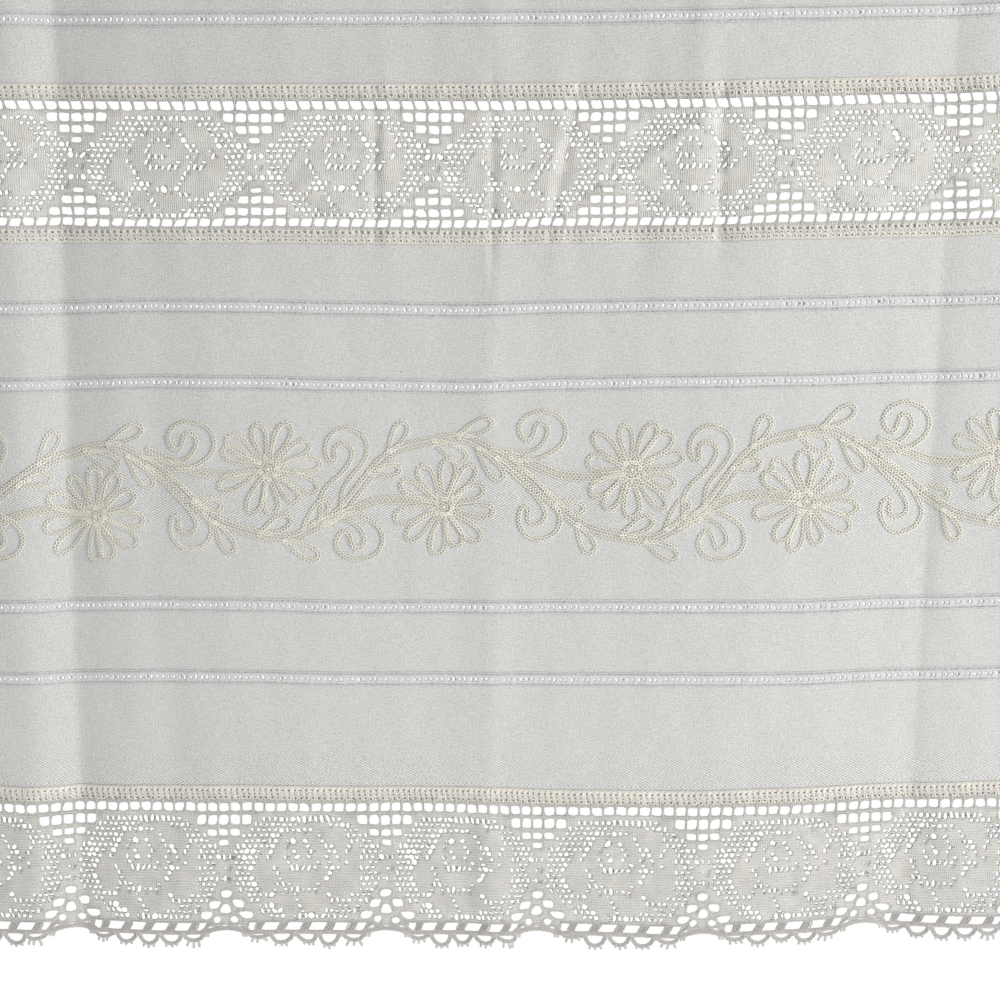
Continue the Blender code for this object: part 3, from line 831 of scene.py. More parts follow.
def cloth_finish():
    """Plain cotton with slubs and flecks, twill bands, hem stitching, and painted shade behind each footing
    and each ladder tape.
    """
    cloth = Finish("cloth", 0.92, 0.15)
    slub = cloth.plus(cloth.noise(0.45, 7.0), cloth.noise(6.0, 0.45, shift=3.0))
    grain = cloth.noise(0.85, 0.85, detail=3.0, shift=8.0)
    cloud = cloth.noise(55.0, 80.0, detail=3.0, shift=5.0)
    weave = cloth.times(cloth.wave(cloth.across, WEAVE_PITCH), cloth.wave(cloth.down, WEAVE_PITCH))
    height = cloth.plus(cloth.times(slub, 1.2), cloth.times(grain, 1.8))
    factor = cloth.total(1.0, (slub, 0.3), (grain, 0.95), (cloud, 0.05))
    for band in TWILL_BANDS:
        rib = twill(cloth, band)
        factor = cloth.add(rib, 0.25, factor)
        height = cloth.add(rib, 0.5, height)
    height = cloth.add(weave, 0.35, height)
    factor = cloth.add(flecks(cloth), -0.2, factor)
    # Painted shade on the cloth behind each footing, seen through its holes.
    for start, end in (
        (INSERTION_TOP - INSERTION_FOOTING, INSERTION_TOP + CLOTH_SHOWS + 1.0),
        (INSERTION_END - CLOTH_SHOWS - 1.0, INSERTION_END + INSERTION_FOOTING),
        (EDGING_TOP - EDGING_FOOTING, EDGING_TOP + 2.0),
    ):
        factor = cloth.add(cloth.range(cloth.down, start, end, 0.8), -0.12, factor)
    # Painted shade on the cloth behind each ladder tape, seen through its needle holes.
    for ladder in LADDERS:
        behind = cloth.range(cloth.down, ladder - TAPE_HALF, ladder + TAPE_HALF, 0.6)
        factor = cloth.add(behind, -0.42, factor)
    sides = dashes(cloth, cloth.math("ABSOLUTE", cloth.across), HALF_WIDTH - HEM, cloth.down)
    stitch = cloth.math("MAXIMUM", sides, dashes(cloth, cloth.down, HEM, cloth.across))
    factor = cloth.add(stitch, -0.12, factor)
    height = cloth.add(stitch, -2.0, height)
    cloth.paint((0.60, 0.60, 0.585), factor)
    cloth.bump(height, 0.09)
    return cloth.material


def tape_finish():
    """Bright cotton, wrapped closely round every hole, with painted shade at the edges of its holes."""
    tape = Finish("tape", 0.88, 0.2)
    grain = tape.noise(0.7, 0.9, detail=3.0)
    crosses = tape.times(tape.wave(tape.across, 0.5 * TAPE_PITCH), tape.wave(tape.down, 1.3))
    # The last share is the painted shade at the hole edges.
    factor = tape.total(1.0, (grain, 0.9), (crosses, 0.06), (tape.shade(), -0.6))
    tape.paint((0.60, 0.60, 0.595), factor)
    tape.bump(tape.plus(tape.times(crosses, 0.5), tape.times(grain, 2.2)), 0.1)
    return tape.material


def lace_finish(name, colour, contrast, depth, upright_share=0.9, level_share=0.25):
    """Linen-coloured lace thread, closely woven wherever it isn't open, with painted shade at its openings'
    edges and in the valleys between them.
    """
    lace = Finish(name, 0.9, 0.2)
    wander = lace.times(lace.noise(5.0, 3.5, shift=4.0), 2.4)
    sway = lace.times(lace.noise(6.0, 4.0, shift=14.0), 2.2)
    upright = lace.wave(lace.plus(lace.across, wander), 1.15)
    level = lace.wave(lace.plus(lace.down, sway), 1.55)
    crossed = lace.times(upright, level)
    knots = lace.noise(0.8, 0.9, detail=3.0, shift=2.0)
    cloud = lace.noise(11.0, 14.0, shift=6.0)
    threads = lace.add(level, level_share, lace.times(upright, upright_share))
    threads = lace.add(crossed, 0.6, threads)
    patches = lace.add(lace.noise(4.0, 4.0, shift=21.0), 3.0, 0.9)
    threads = lace.times(threads, patches)
    # The edge share is painted shade: dark rims round the openings and dark valleys between them.
    factor = lace.total(1.0, (threads, contrast), (knots, 0.5), (cloud, 0.42), (lace.edge(), -0.55))
    tone = lace.add(lace.noise(30.0, 30.0, shift=9.0), 1.6, 0.5)
    grey = tuple(0.5 * (part + sum(colour) / 3.0) for part in colour)
    lace.paint(lace.mix(colour, grey, tone), factor)
    lace.bump(lace.add(knots, 1.2, threads), depth)
    return lace.material


def thread_finish(name, colour, side_shade, spread=0.12):
    """Twisted cotton thread, with painted shade on its sides and back, and in the embroidery where links
    meet and between their strands.
    """
    thread = Finish(name, 0.85, 0.3)
    fine = thread.noise(0.5, 0.5, detail=3.0)
    broad = thread.noise(16.0, 16.0, shift=7.0)
    factor = thread.total(1.0, (fine, 2.0 * spread), (broad, spread), (thread.shade(), -side_shade))
    thread.paint(colour, factor)
    thread.bump(fine, 0.08)
    return thread.material


# Pieces.


def make(shape, name, finish, slot, *nodes):
    """Turns a shape into a piece that rides on the curtain and may stand for solids."""
    piece = shape.build(name, finish)
    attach(piece, "root")
    if nodes:
        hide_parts(*nodes)
    return piece


def add_cloth(finish):
    """The seven strips of cloth, each a thin sheet on a grid that is finer at the creases."""
    lap = TAPE_HALF - SEAM_LAP
    tape_1, tape_2, tape_3, tape_4, tape_5 = LADDERS
    strips = (
        ("cloth_top", 0.0, tape_1 - lap),
        ("cloth_above_insertion", tape_1 + lap, INSERTION_TOP + CLOTH_SHOWS),
        ("cloth_below_insertion", INSERTION_END - CLOTH_SHOWS, tape_2 - lap),
        ("cloth_between_tapes", tape_2 + lap, tape_3 - lap),
        ("cloth_embroidered", tape_3 + lap, tape_4 - lap),
        ("cloth_below_embroidery", tape_4 + lap, tape_5 - lap),
        ("cloth_above_edging", tape_5 + lap, EDGING_TOP + CLOTH_SHOWS),
    )
    columns = np.linspace(-HALF_WIDTH, HALF_WIDTH, CLOTH_COLUMNS)
    creases = [centre + CREASE_STEP * step for centre in CREASES for step in range(-4, 5)]
    columns = np.unique(np.concatenate((columns, creases)).round(2))
    made = {}
    for name, top, bottom in strips:
        rows = np.linspace(top, bottom, max(3, round((bottom - top) / CLOTH_ROW)) + 1)
        flat, quads = grid(columns, rows)
        hem = smooth((np.abs(flat[:, 0]) - HALF_WIDTH + HEM) / 1.0)
        if top == 0.0:
            hem = np.maximum(hem, smooth((HEM - flat[:, 1]) / 1.0))
        shape = Shape()
        add_sheet(shape, flat, quads, CLOTH_FRONT + HEM_SWELL * hem, CLOTH_BACK - HEM_SWELL * hem)
        made[name] = (make(shape, name + "_weave", finish, "cloth", name), bottom - top)
    return made


def strips_above_tapes(strips):
    """The names of the strips that end in a ladder tape, from the top down."""
    return [name for name in strips if name not in ("cloth_above_insertion", "cloth_above_edging")]


def rectangle(top, bottom, step=4.0):
    """A flat rectangle's outline across the whole curtain, with points along its long sides."""
    columns = np.linspace(-HALF_WIDTH, HALF_WIDTH, round(2.0 * HALF_WIDTH / step) + 1)
    lower = np.stack((columns, np.full(len(columns), bottom)), axis=1)
    upper = np.stack((columns[::-1], np.full(len(columns), top)), axis=1)
    return np.vstack((lower, upper))


def add_tape(number, middle, finish, threads_finish):
    """A ladder tape: a row of oval holes between two rows of needle holes, with threads that zigzag."""
    random = np.random.default_rng(SEED + number)
    tape = Lace(rectangle(middle - TAPE_HALF, middle + TAPE_HALF), 0.0)
    start = random.uniform(-0.5, 0.5) * TAPE_PITCH
    for step in range(-TAPE_STEPS, TAPE_STEPS + 1):
        leaning = 1.0 if step % 2 else -1.0
        across = start + step * TAPE_PITCH + 0.18 * leaning + random.normal(0.0, 0.08)
        width = TAPE_HOLE_WIDTH * random.uniform(0.7, 1.15)
        height = TAPE_HOLE_HEIGHT * random.uniform(0.65, 1.15)
        drop = random.normal(0.0, 0.12)
        oval = hole(random, width, height, 0.55 * leaning, 8, 2.2, 0.08)
        # Painted shade at the edge of each oval hole and, fainter, of each needle hole.
        tape.open(oval + (across, middle + drop), 0.4, 0.15, 1.1)
        for side in (-1.0, 1.0):
            needle = hole(random, 1.0, 0.6, 0.4 * side, 4, 2.0, 0.25)
            tape.open(needle + (across + side * 0.5, middle + side * NEEDLE_ROW), 0.0, edge_shade=0.1)
    shape = Shape()
    tape.add_to(shape, TAPE_FRONT, TAPE_BACK)
    name = f"ladder_tape_{number}"
    piece = make(shape, name + "_holes", finish, "tape", name)
    threads = Shape()
    count = int(2.0 * (HALF_WIDTH - 2.0) / ZIGZAG_STEP)
    across = -HALF_WIDTH + 2.0 + ZIGZAG_STEP * np.arange(count)
    turn = np.where(np.arange(count) % 2, 1.0, -1.0)
    for row in (-ZIGZAG_ROW, ZIGZAG_ROW):
        down = middle + row + ZIGZAG_SWING * turn + random.normal(0.0, 0.12, count)
        aside = across + random.normal(0.0, 0.12, count)
        path = np.column_stack((aside, down, np.full(count, TAPE_FRONT + 0.15)))
        add_thread(threads, path, 0.22, 3)
    return [piece, make(threads, name + "_threads", threads_finish, "tape")]


def across_of(repeats, position):
    """Turns positions counted in repeats into places across the curtain."""
    return np.interp(position, np.arange(len(repeats)), repeats)


# How the rows of a footing lie, from its lace side: distance, width and height of the holes.
FootingRow = namedtuple("FootingRow", "away width height")
FOOTING_ROWS = (
    FootingRow(1.95, 1.7, 1.75),
    FootingRow(4.1, 1.15, 0.75),
    FootingRow(6.3, 1.5, 1.2),
)
FOOTING_CORDS = (0.45, 3.2, 4.9)
FOOTING_SLANT = 0.12
CORD_STEP = 1.1


def add_footing(shape, threads, top, bottom, lace_side, repeats, seed):
    """A woven footing: three rows of small holes, cords along it and a slanting thread at each hole."""
    random = np.random.default_rng(seed)
    footing = Lace(rectangle(top, bottom))
    edge = bottom if lace_side > 0 else top
    height = bottom - top
    slant = -lace_side
    for column in range(COLUMNS * (len(repeats) - 1)):
        across = across_of(repeats, (column + 0.5) / COLUMNS)
        for row in FOOTING_ROWS:
            down = edge - lace_side * row.away + random.normal(0.0, 0.13)
            at = across + slant * FOOTING_SLANT * row.away + random.normal(0.0, 0.22)
            width = row.width * random.uniform(0.75, 1.1)
            tall = row.height * random.uniform(0.7, 1.15)
            # Painted shade at the edge of each hole.
            footing.open(hole(random, width, tall, 0.3, 6, 2.4, 0.12) + (at, down), 0.0, edge_shade=0.3)
        across = across_of(repeats, column / COLUMNS)
        if abs(across) > HALF_WIDTH - 3.0:
            continue
        away = np.array((0.2, 2.2, 3.9, 5.6, height - 0.5))
        aside = np.array((0.0, -0.35, 0.25, 0.9, 0.1)) * slant * 1.1 + random.normal(0.0, 0.12, 5)
        aside = across + slant * FOOTING_SLANT * away + aside
        path = np.column_stack((aside, edge - lace_side * away, np.zeros(5)))
        path[:, 2] = FOOTING_FRONT + 0.12 + random.normal(0.0, 0.03, 5)
        add_thread(threads, curve(path, 2), 0.24, 4)
    footing.add_to(shape, FOOTING_FRONT, FOOTING_BACK)
    columns = np.arange(-HALF_WIDTH + 1.5, HALF_WIDTH - 1.5, CORD_STEP)
    outer = height - 0.5
    for away in FOOTING_CORDS + (outer,):
        down = edge - lace_side * away + random.normal(0.0, 0.03, len(columns))
        if away == outer:
            down += lace_side * 0.22 * np.sin(math.tau * columns / 3.4)
        path = np.column_stack((columns, down, np.full(len(columns), FOOTING_FRONT + 0.1)))
        add_thread(threads, path, 0.26, 4)


def warp(flat, height_of_wave=0.3):
    """Draws a lace slightly out of true, rows and columns alike."""
    across, down = flat[..., 0], flat[..., 1]
    moved = np.array(flat, dtype=float)
    moved[..., 0] += 0.35 * np.sin(down / 9.0 + across / 41.0)
    moved[..., 1] += height_of_wave * np.sin(across / 23.0 + down / 31.0)
    return moved


def lace_frame(top, direction):
    """A function that turns (across, from the footing) into a warped place on the curtain."""

    def to_curtain(across, away):
        across = np.asarray(across, dtype=float)
        flat = np.stack(np.broadcast_arrays(across, top + direction * np.asarray(away)), axis=-1)
        return warp(flat)

    return to_curtain


def open_squares(lace, repeats, rows, at, random):
    """The rows of open squares over every repeat's start."""
    pitch = 1.0 / SQUARES
    for number in range(len(repeats)):
        for row in rows:
            away = 0.5 * (row.start + row.end)
            height = row.end - row.start
            for step in range(row.count):
                middle = number + (step - row.count // 2) * pitch
                left, across, right = across_of(repeats, middle + pitch * np.array((-0.5, 0.0, 0.5)))
                if right <= left:
                    continue
                corners = hole(random, right - left - SQUARE_BAR, height, row.lean, 12, 5.0, 0.07)
                corners += random.normal(0.0, 0.12, 2)
                # Painted shade at the edge of each square.
                lace.open(at(across + corners[:, 0], away + corners[:, 1]), 0.0, edge_shade=0.4)


def open_chart(lace, chart, repeats, top, spacing, at, random):
    """The holes of the charted net, and loose points between them that give the threads their relief, with
    painted shade in the valleys.
    """
    pitch = 1.0 / COLUMNS
    valleys, swells = [], []
    for number in range(len(repeats) - 1):
        for line, text in enumerate(chart):
            away = top + spacing * line
            for column, sign in enumerate(text):
                position = number + (column + 0.5 * (line % 2)) * pitch
                beside = across_of(repeats, position + 0.5 * pitch)
                if sign == ".":
                    across = across_of(repeats, position)
                    swells.append((across + random.normal(0.0, 0.3), away + random.normal(0.0, 0.3)))
                    swells.append((beside, away + 0.5 * spacing))
                    continue
                mark = MARKS[sign]
                across = across_of(repeats, position + mark.aside * pitch)
                across += random.normal(0.0, 0.12)
                drop = away + random.normal(0.0, 0.12)
                size = random.uniform(0.88, 1.12)
                lean = mark.lean + random.normal(0.0, 0.15)
                width = mark.width * size * random.uniform(0.93, 1.07)
                corners = hole(random, width, mark.height * size, lean, 8, 3.2, 0.14)
                lace.open(at(across + corners[:, 0], drop + corners[:, 1]))
                valleys.append((beside, away))
                quarter = across_of(repeats, position + 0.25 * pitch)
                valleys.append((quarter, away + 0.5 * spacing))
    # Painted shade in the valleys between holes; the swells get a slight random tone.
    lace.loose(at(*np.transpose(valleys)), -0.1, 0.62)
    outs = random.uniform(-0.02, 0.16, len(swells))
    shades = random.uniform(0.0, 0.22, len(swells))
    lace.loose(at(*np.transpose(swells)), outs, shades)


def add_bars(shape, repeats, rows, at, random):
    """The threads between the open squares: pairs down the lace and twisted pairs along it."""
    for number in range(len(repeats)):
        for step in range(-SQUARES // 2, SQUARES // 2):
            add_upright_bar(shape, repeats, number, step + 0.5, rows, at, random)
    for number in range(len(repeats)):
        for upper, lower in zip(rows, rows[1:] + (None,)):
            add_level_bar(shape, repeats, number, upper, lower, at, random)


def add_upright_bar(shape, repeats, number, edge, rows, at, random):
    """Two threads that run down beside the squares, as far as the squares reach."""
    position = number + edge * (1.0 / SQUARES)
    if not 0.0 <= position <= len(repeats) - 1:
        return
    across = across_of(repeats, position)
    if abs(across) > HALF_WIDTH - 2.0:
        return
    reached = [row for row in rows if abs(edge) <= 0.5 * row.count + 0.01]
    first = rows[0]
    lean = 0.5 * first.lean
    away = [BAR_FOOT, first.start, 0.5 * (first.start + first.end), first.end]
    aside = [-lean, -lean, 0.0, lean]
    for row in reached[1:]:
        away += [row.start, 0.5 * (row.start + row.end), row.end]
        aside += [0.3 * lean, 0.0, 0.0]
    away = np.array(away + [reached[-1].end + 1.0])
    aside = np.array(aside + [0.0])
    for pair in (-1.0, 1.0):
        spread = pair * (0.31 + random.normal(0.0, 0.07, len(away)))
        flat = at(across + aside + spread, away)
        path = np.column_stack((flat, np.full(len(flat), THREAD_OUT + random.normal(0.0, 0.05))))
        add_thread(shape, curve(path, 2), 0.29, 4)


def add_level_bar(shape, repeats, number, upper, lower, at, random):
    """A twisted pair along the foot of one row of squares."""
    if lower is None:
        count = upper.count
        low = upper.end + 0.9
    else:
        count = lower.count if upper.count == SQUARES else upper.count
        low = 0.5 * (upper.end + lower.start)
    half = 0.5 * count * (1.0 / SQUARES)
    span = across_of(repeats, np.linspace(number - half, number + half, 2 * count + 1))
    inside = np.abs(span) < HALF_WIDTH - 1.5
    if inside.sum() < 2 or span[0] == span[-1]:
        return
    flat = at(span[inside], low + random.normal(0.0, 0.07, inside.sum()))
    add_twist(shape, flat, random.uniform(0.0, 6.0))


def add_insertion(finish, footing_finish, threads_finish, footing_threads_finish):
    """The insertion's ground, and the footings and threads that are sewn to it."""
    random = np.random.default_rng(INSERTION_SEED)
    upper = lace_frame(INSERTION_TOP, 1)
    lower = lace_frame(INSERTION_END, -1)
    lace = Lace(rectangle(INSERTION_TOP - GROUND_LAP, INSERTION_END + GROUND_LAP, 3.4))
    open_squares(lace, INSERTION_REPEATS, INSERTION_UPPER_ROWS, upper, random)
    open_squares(lace, INSERTION_REPEATS, INSERTION_LOWER_ROWS, lower, random)
    net = INSERTION_CHART_TOP, INSERTION_CHART_STEP
    open_chart(lace, INSERTION_CHART, INSERTION_REPEATS, *net, upper, random)
    ground = Shape()
    lace.add_to(ground, LACE_FRONT, LACE_BACK)
    ground_piece = make(ground, "lace_insertion_ground", finish, "lace", "lace_insertion")

    sewn = []
    footing_threads = Shape()
    for side, edge, name in ((1, INSERTION_TOP, "upper"), (-1, INSERTION_END, "lower")):
        footing = Shape()
        edges = sorted((edge - side * INSERTION_FOOTING, edge))
        seed = INSERTION_FOOTING_SEED + side
        add_footing(footing, footing_threads, *edges, side, INSERTION_REPEATS, seed)
        sewn.append(make(footing, f"lace_insertion_{name}_footing", footing_finish, "lace"))
    sewn.append(make(footing_threads, "lace_insertion_footing_threads", footing_threads_finish, "lace"))

    threads = Shape()
    add_bars(threads, INSERTION_REPEATS, INSERTION_UPPER_ROWS, upper, random)
    add_bars(threads, INSERTION_REPEATS, INSERTION_LOWER_ROWS, lower, random)
    sewn.append(make(threads, "lace_insertion_threads", threads_finish, "lace"))
    return ground_piece, sewn


def scallops():
    """The middle of every scallop and how much wider than usual it is."""
    for start, end in zip(EDGING_REPEATS, EDGING_REPEATS[1:]):
        yield 0.5 * (start + end), (end - start) / EDGING_REPEAT


def edging_outline(at):
    """The edging's ground down to the band that the loops hang from."""
    foot = []
    for start, (middle, stretch) in zip(EDGING_REPEATS, scallops()):
        for share in np.linspace(-1.0, 1.0, 9):
            foot.append((start + ARCH_REACH * share, ARCH_TOP + (ARCH_END - ARCH_TOP) * share * share))
        reach = 2.5 * LOOP_PITCH * stretch
        for share in np.linspace(-1.0, 1.0, 24):
            foot.append((middle + reach * share, BAND_FOOT))
    foot = np.array([point for point in foot if abs(point[0]) < HALF_WIDTH - 0.3])
    foot = foot[np.argsort(foot[:, 0])]
    foot = np.vstack(((-HALF_WIDTH, BAND_FOOT), foot, (HALF_WIDTH, ARCH_TOP)))
    lower = at(foot[:, 0], foot[:, 1])
    lower[0, 0], lower[-1, 0] = -HALF_WIDTH, HALF_WIDTH
    columns = np.linspace(HALF_WIDTH, -HALF_WIDTH, 177)
    upper = np.stack((columns, np.full(len(columns), EDGING_TOP - GROUND_LAP)), axis=1)
    return np.vstack((lower, upper))


def fan_openings(at, random):
    """Every opening of every fan, as outlines on the curtain."""
    for start in EDGING_REPEATS:
        for opening in FAN + FAN_SLITS:
            sides = 12 if opening in FAN else 6
            shape = opening.width, opening.height, opening.lean, sides, opening.power
            corners = hole(random, *shape, 0.06, opening.taper)
            across, down = random.normal(0.0, 0.3, 2)
            across = start + opening.across + across + corners[:, 0]
            yield opening, at(across, opening.down + down + corners[:, 1])


def slanted_gap(middle, stretch, gap):
    """The corners of one slanted gap over a scallop, as (across, away from the footing)."""
    half = 0.5 * gap.width * stretch
    across = middle + gap.across * stretch
    lean = 0.5 * gap.lean
    middle_down = 0.5 * (SLANTED_START + SLANTED_END)
    return (
        (across - half - lean, SLANTED_END),
        (across, SLANTED_END + 0.15),
        (across + half - lean, SLANTED_END),
        (across + half, middle_down),
        (across + half + lean, SLANTED_START),
        (across, SLANTED_START - 0.15),
        (across - half + lean, SLANTED_START),
        (across - half, middle_down),
    )


def add_edging(finish, footing_finish, threads_finish, footing_threads_finish, plaits_finish):
    """The edging's ground, and the footing, threads and loops that are sewn to it."""
    random = np.random.default_rng(EDGING_SEED)
    at = lace_frame(EDGING_TOP, 1)
    lace = Lace(edging_outline(at))
    open_squares(lace, EDGING_REPEATS, EDGING_ROWS, at, random)
    fans = list(fan_openings(at, random))
    for opening, flat in fans:
        # Painted shade at the edge of each fan opening and slit.
        lace.open(flat, 0.0, edge_shade=0.45 if opening in FAN else 0.3)
    for middle, stretch in scallops():
        for gap in SLANTED_GAPS:
            # Painted shade at the edge of each slanted gap.
            lace.open(at(*np.transpose(slanted_gap(middle, stretch, gap))), 0.0, edge_shade=0.4)
    open_chart(lace, EDGING_CHART, EDGING_REPEATS, EDGING_CHART_TOP, EDGING_CHART_STEP, at, random)
    ground = Shape()
    lace.add_to(ground, LACE_FRONT, LACE_BACK)
    ground_piece = make(ground, "lace_edging_ground", finish, "lace", "lace_edging")

    footing = Shape()
    footing_threads = Shape()
    edges = EDGING_TOP - EDGING_FOOTING, EDGING_TOP
    add_footing(footing, footing_threads, *edges, 1, EDGING_REPEATS, EDGING_FOOTING_SEED)
    bars = Shape()
    add_bars(bars, EDGING_REPEATS, EDGING_ROWS, at, random)
    for opening, flat in fans:
        if opening in FAN and np.abs(flat[:, 0]).max() < HALF_WIDTH - 3.0:
            away = flat - flat.mean(axis=0)
            away /= np.linalg.norm(away, axis=1, keepdims=True)
            add_plait(bars, flat + away * 0.7, (-0.42, 0.42), 0.32, closed=True)
    foot = Shape()
    add_scallop_foot(foot, at, random)
    return ground_piece, [
        make(footing, "lace_edging_footing", footing_finish, "lace"),
        make(footing_threads, "lace_edging_footing_threads", footing_threads_finish, "lace"),
        make(bars, "lace_edging_threads", threads_finish, "lace"),
        make(foot, "lace_edging_loops", plaits_finish, "lace"),
    ]


def add_scallop_foot(shape, at, random):
    """All that hangs below the edging's ground, and the plaits that carry it."""
    for middle, stretch in scallops():
        for left, right in zip(SLANTED_GAPS, SLANTED_GAPS[1:]):
            add_slanted_plait(shape, middle, stretch, left, right, at, random)
        for loop in LOOPS:
            add_loop(shape, middle, stretch, loop, at, random)
    for middle, stretch in scallops():
        add_band(shape, middle, stretch, at, random)
    for start in EDGING_REPEATS:
        add_arch(shape, start, at)


def add_slanted_plait(shape, middle, stretch, left, right, at, random):
    """The plait between two slanted gaps."""
    low = left.across + 0.5 * left.width
    high = right.across - 0.5 * right.width
    lean = 0.25 * (left.lean + right.lean)
    across = middle + 0.5 * (low + high) * stretch
    if abs(across) > HALF_WIDTH - 4.5:
        return
    shares = np.linspace(1.0, -1.0, 6)
    bend = 0.5 * random.normal() * (1.0 - shares**2)
    aways = np.linspace(SLANTED_START - 1.0, SLANTED_END + 1.0, 6)
    flat = at(across + lean * 1.4 * shares + bend, aways)
    add_plait(shape, flat, (high - low) * stretch * np.array((-0.42, -0.14, 0.14, 0.42)), 0.4)


def add_band(shape, middle, stretch, at, random):
    """The plaits along a scallop, above and below its slanted gaps, and the knots between its loops."""
    reach = 2.45 * LOOP_PITCH * stretch
    span = middle + np.linspace(-reach, reach, 60)
    span = span[np.abs(span) < HALF_WIDTH - 1.5]
    if len(span) > 3:
        rise = random.normal(0.0, 0.08, len(span))
        add_plait(shape, at(span, SLANTED_START - 0.9 + rise), TWO_THREADS, 0.36)
        rise -= 0.4 * np.cos(math.tau * (span - middle) / (LOOP_PITCH * stretch))
        add_plait(shape, at(span, BAND_FOOT - 1.15 + rise), *THREE_THREADS)
    for step in (-1.5, -0.5, 0.5, 1.5):
        knot = middle + step * LOOP_PITCH * stretch + random.normal(0.0, 0.3)
        if abs(knot) < HALF_WIDTH - 3.0:
            flat = at(np.full(3, knot), BAND_FOOT + np.array((-1.2, 0.2, 1.5)))
            add_plait(shape, flat, (-0.7, 0.7), 0.62)


def add_arch(shape, start, at):
    """The plaited arch between two scallops, its two struts and the picots at its ends."""
    share = np.linspace(-1.15, 1.15, 14)
    across = start + ARCH_REACH * share
    inside = np.abs(across) < HALF_WIDTH - 1.0
    if inside.sum() > 3:
        away = ARCH_TOP + (ARCH_END - ARCH_TOP) * share**2 - 0.9
        add_plait(shape, at(across[inside], away[inside]), (-0.7, 0.0, 0.7), 0.42)
    for side in (-1.0, 1.0):
        out, down = np.array(ARCH_STRUT)
        ends = start + side * out
        if np.abs(ends).max() < HALF_WIDTH - 3.0:
            flat = at(np.linspace(*ends, 5), np.linspace(*down, 5))
            add_plait(shape, flat, TWO_THREADS, 0.38)
        for shift in (-0.8, 0.9):
            across = start + side * ARCH_REACH + shift
            if abs(across) < HALF_WIDTH - 2.0:
                add_picot(shape, at(across, ARCH_END - 0.3), 0.25 * side, 2.2)


def add_loop(shape, middle, stretch, loop, at, random):
    """One plaited loop that hangs from the band, with three picots."""
    centre = middle + loop.steps * LOOP_PITCH * stretch
    reach = LOOP_REACH * stretch * random.uniform(0.92, 1.05)
    if abs(centre) > HALF_WIDTH - reach - 1.5:
        return
    sway, drop = random.normal(0.0, 0.8), loop.drop + random.normal(0.0, 0.6)
    turn = np.linspace(-0.5 * math.pi, 0.5 * math.pi, 15)
    across = centre + reach * np.sin(turn) * (1.1 - 0.16 * np.cos(turn)) + sway * np.cos(turn)
    add_plait(shape, at(across, LOOP_START + (drop + 1.2) * np.cos(turn) ** 0.7), *THREE_THREADS)
    for step in (-1.0, 0.0, 1.0):
        lean = step * PICOT_TURN
        across = centre + reach * math.sin(lean) * 0.98 + sway * math.cos(lean)
        away = LOOP_START + (drop + 1.2) * math.cos(lean) ** 0.7 + 0.4
        length = loop.picot * random.uniform(0.75, 1.2)
        add_picot(shape, at(across, away), lean * 0.7 + random.normal(0.0, 0.2), length)


def add_picot(shape, start, lean, length):
    """A small loop of thread that stands out from an edge."""
    turn = np.linspace(0.0, math.pi, 5)
    side = np.concatenate(((0.3,), 0.3 * np.cos(turn), (-0.3,)))
    drop = np.concatenate(((0.0,), length - 0.3 + 0.3 * np.sin(turn), (0.0,)))
    path = np.zeros((len(side), 3))
    path[:, 0] = start[0] + side * math.cos(lean) + drop * math.sin(lean)
    path[:, 1] = start[1] - side * math.sin(lean) + drop * math.cos(lean)
    path[:, 2] = THREAD_OUT
    add_thread(shape, path, 0.5)


# Embroidery.

# The two strands of a chain link, at its start, its widest place and its tip.
CHAIN_ALONG = (-0.05, 0.48, 1.15)
CHAIN_ASIDE = (0.1, 1.1, 0.1)
CHAIN_OUT = (0.25, 0.55, 0.45)
CHAIN_RADIUS = (0.27, 0.36, 0.27)
# Painted shade: darker where one link meets the next, and on the back of each strand.
CHAIN_SHADE = np.array((0.5, 0.0, 0.2))
STRAND_SHADE = np.array((0.0, 0.0, 0.3, 0.3))
STATIONS = 3
CORNERS = 4
SHADE_STRIP_HALF = 0.7  # of the strip of painted shade under a chain
SHADE_STRIP_OUT = 0.12


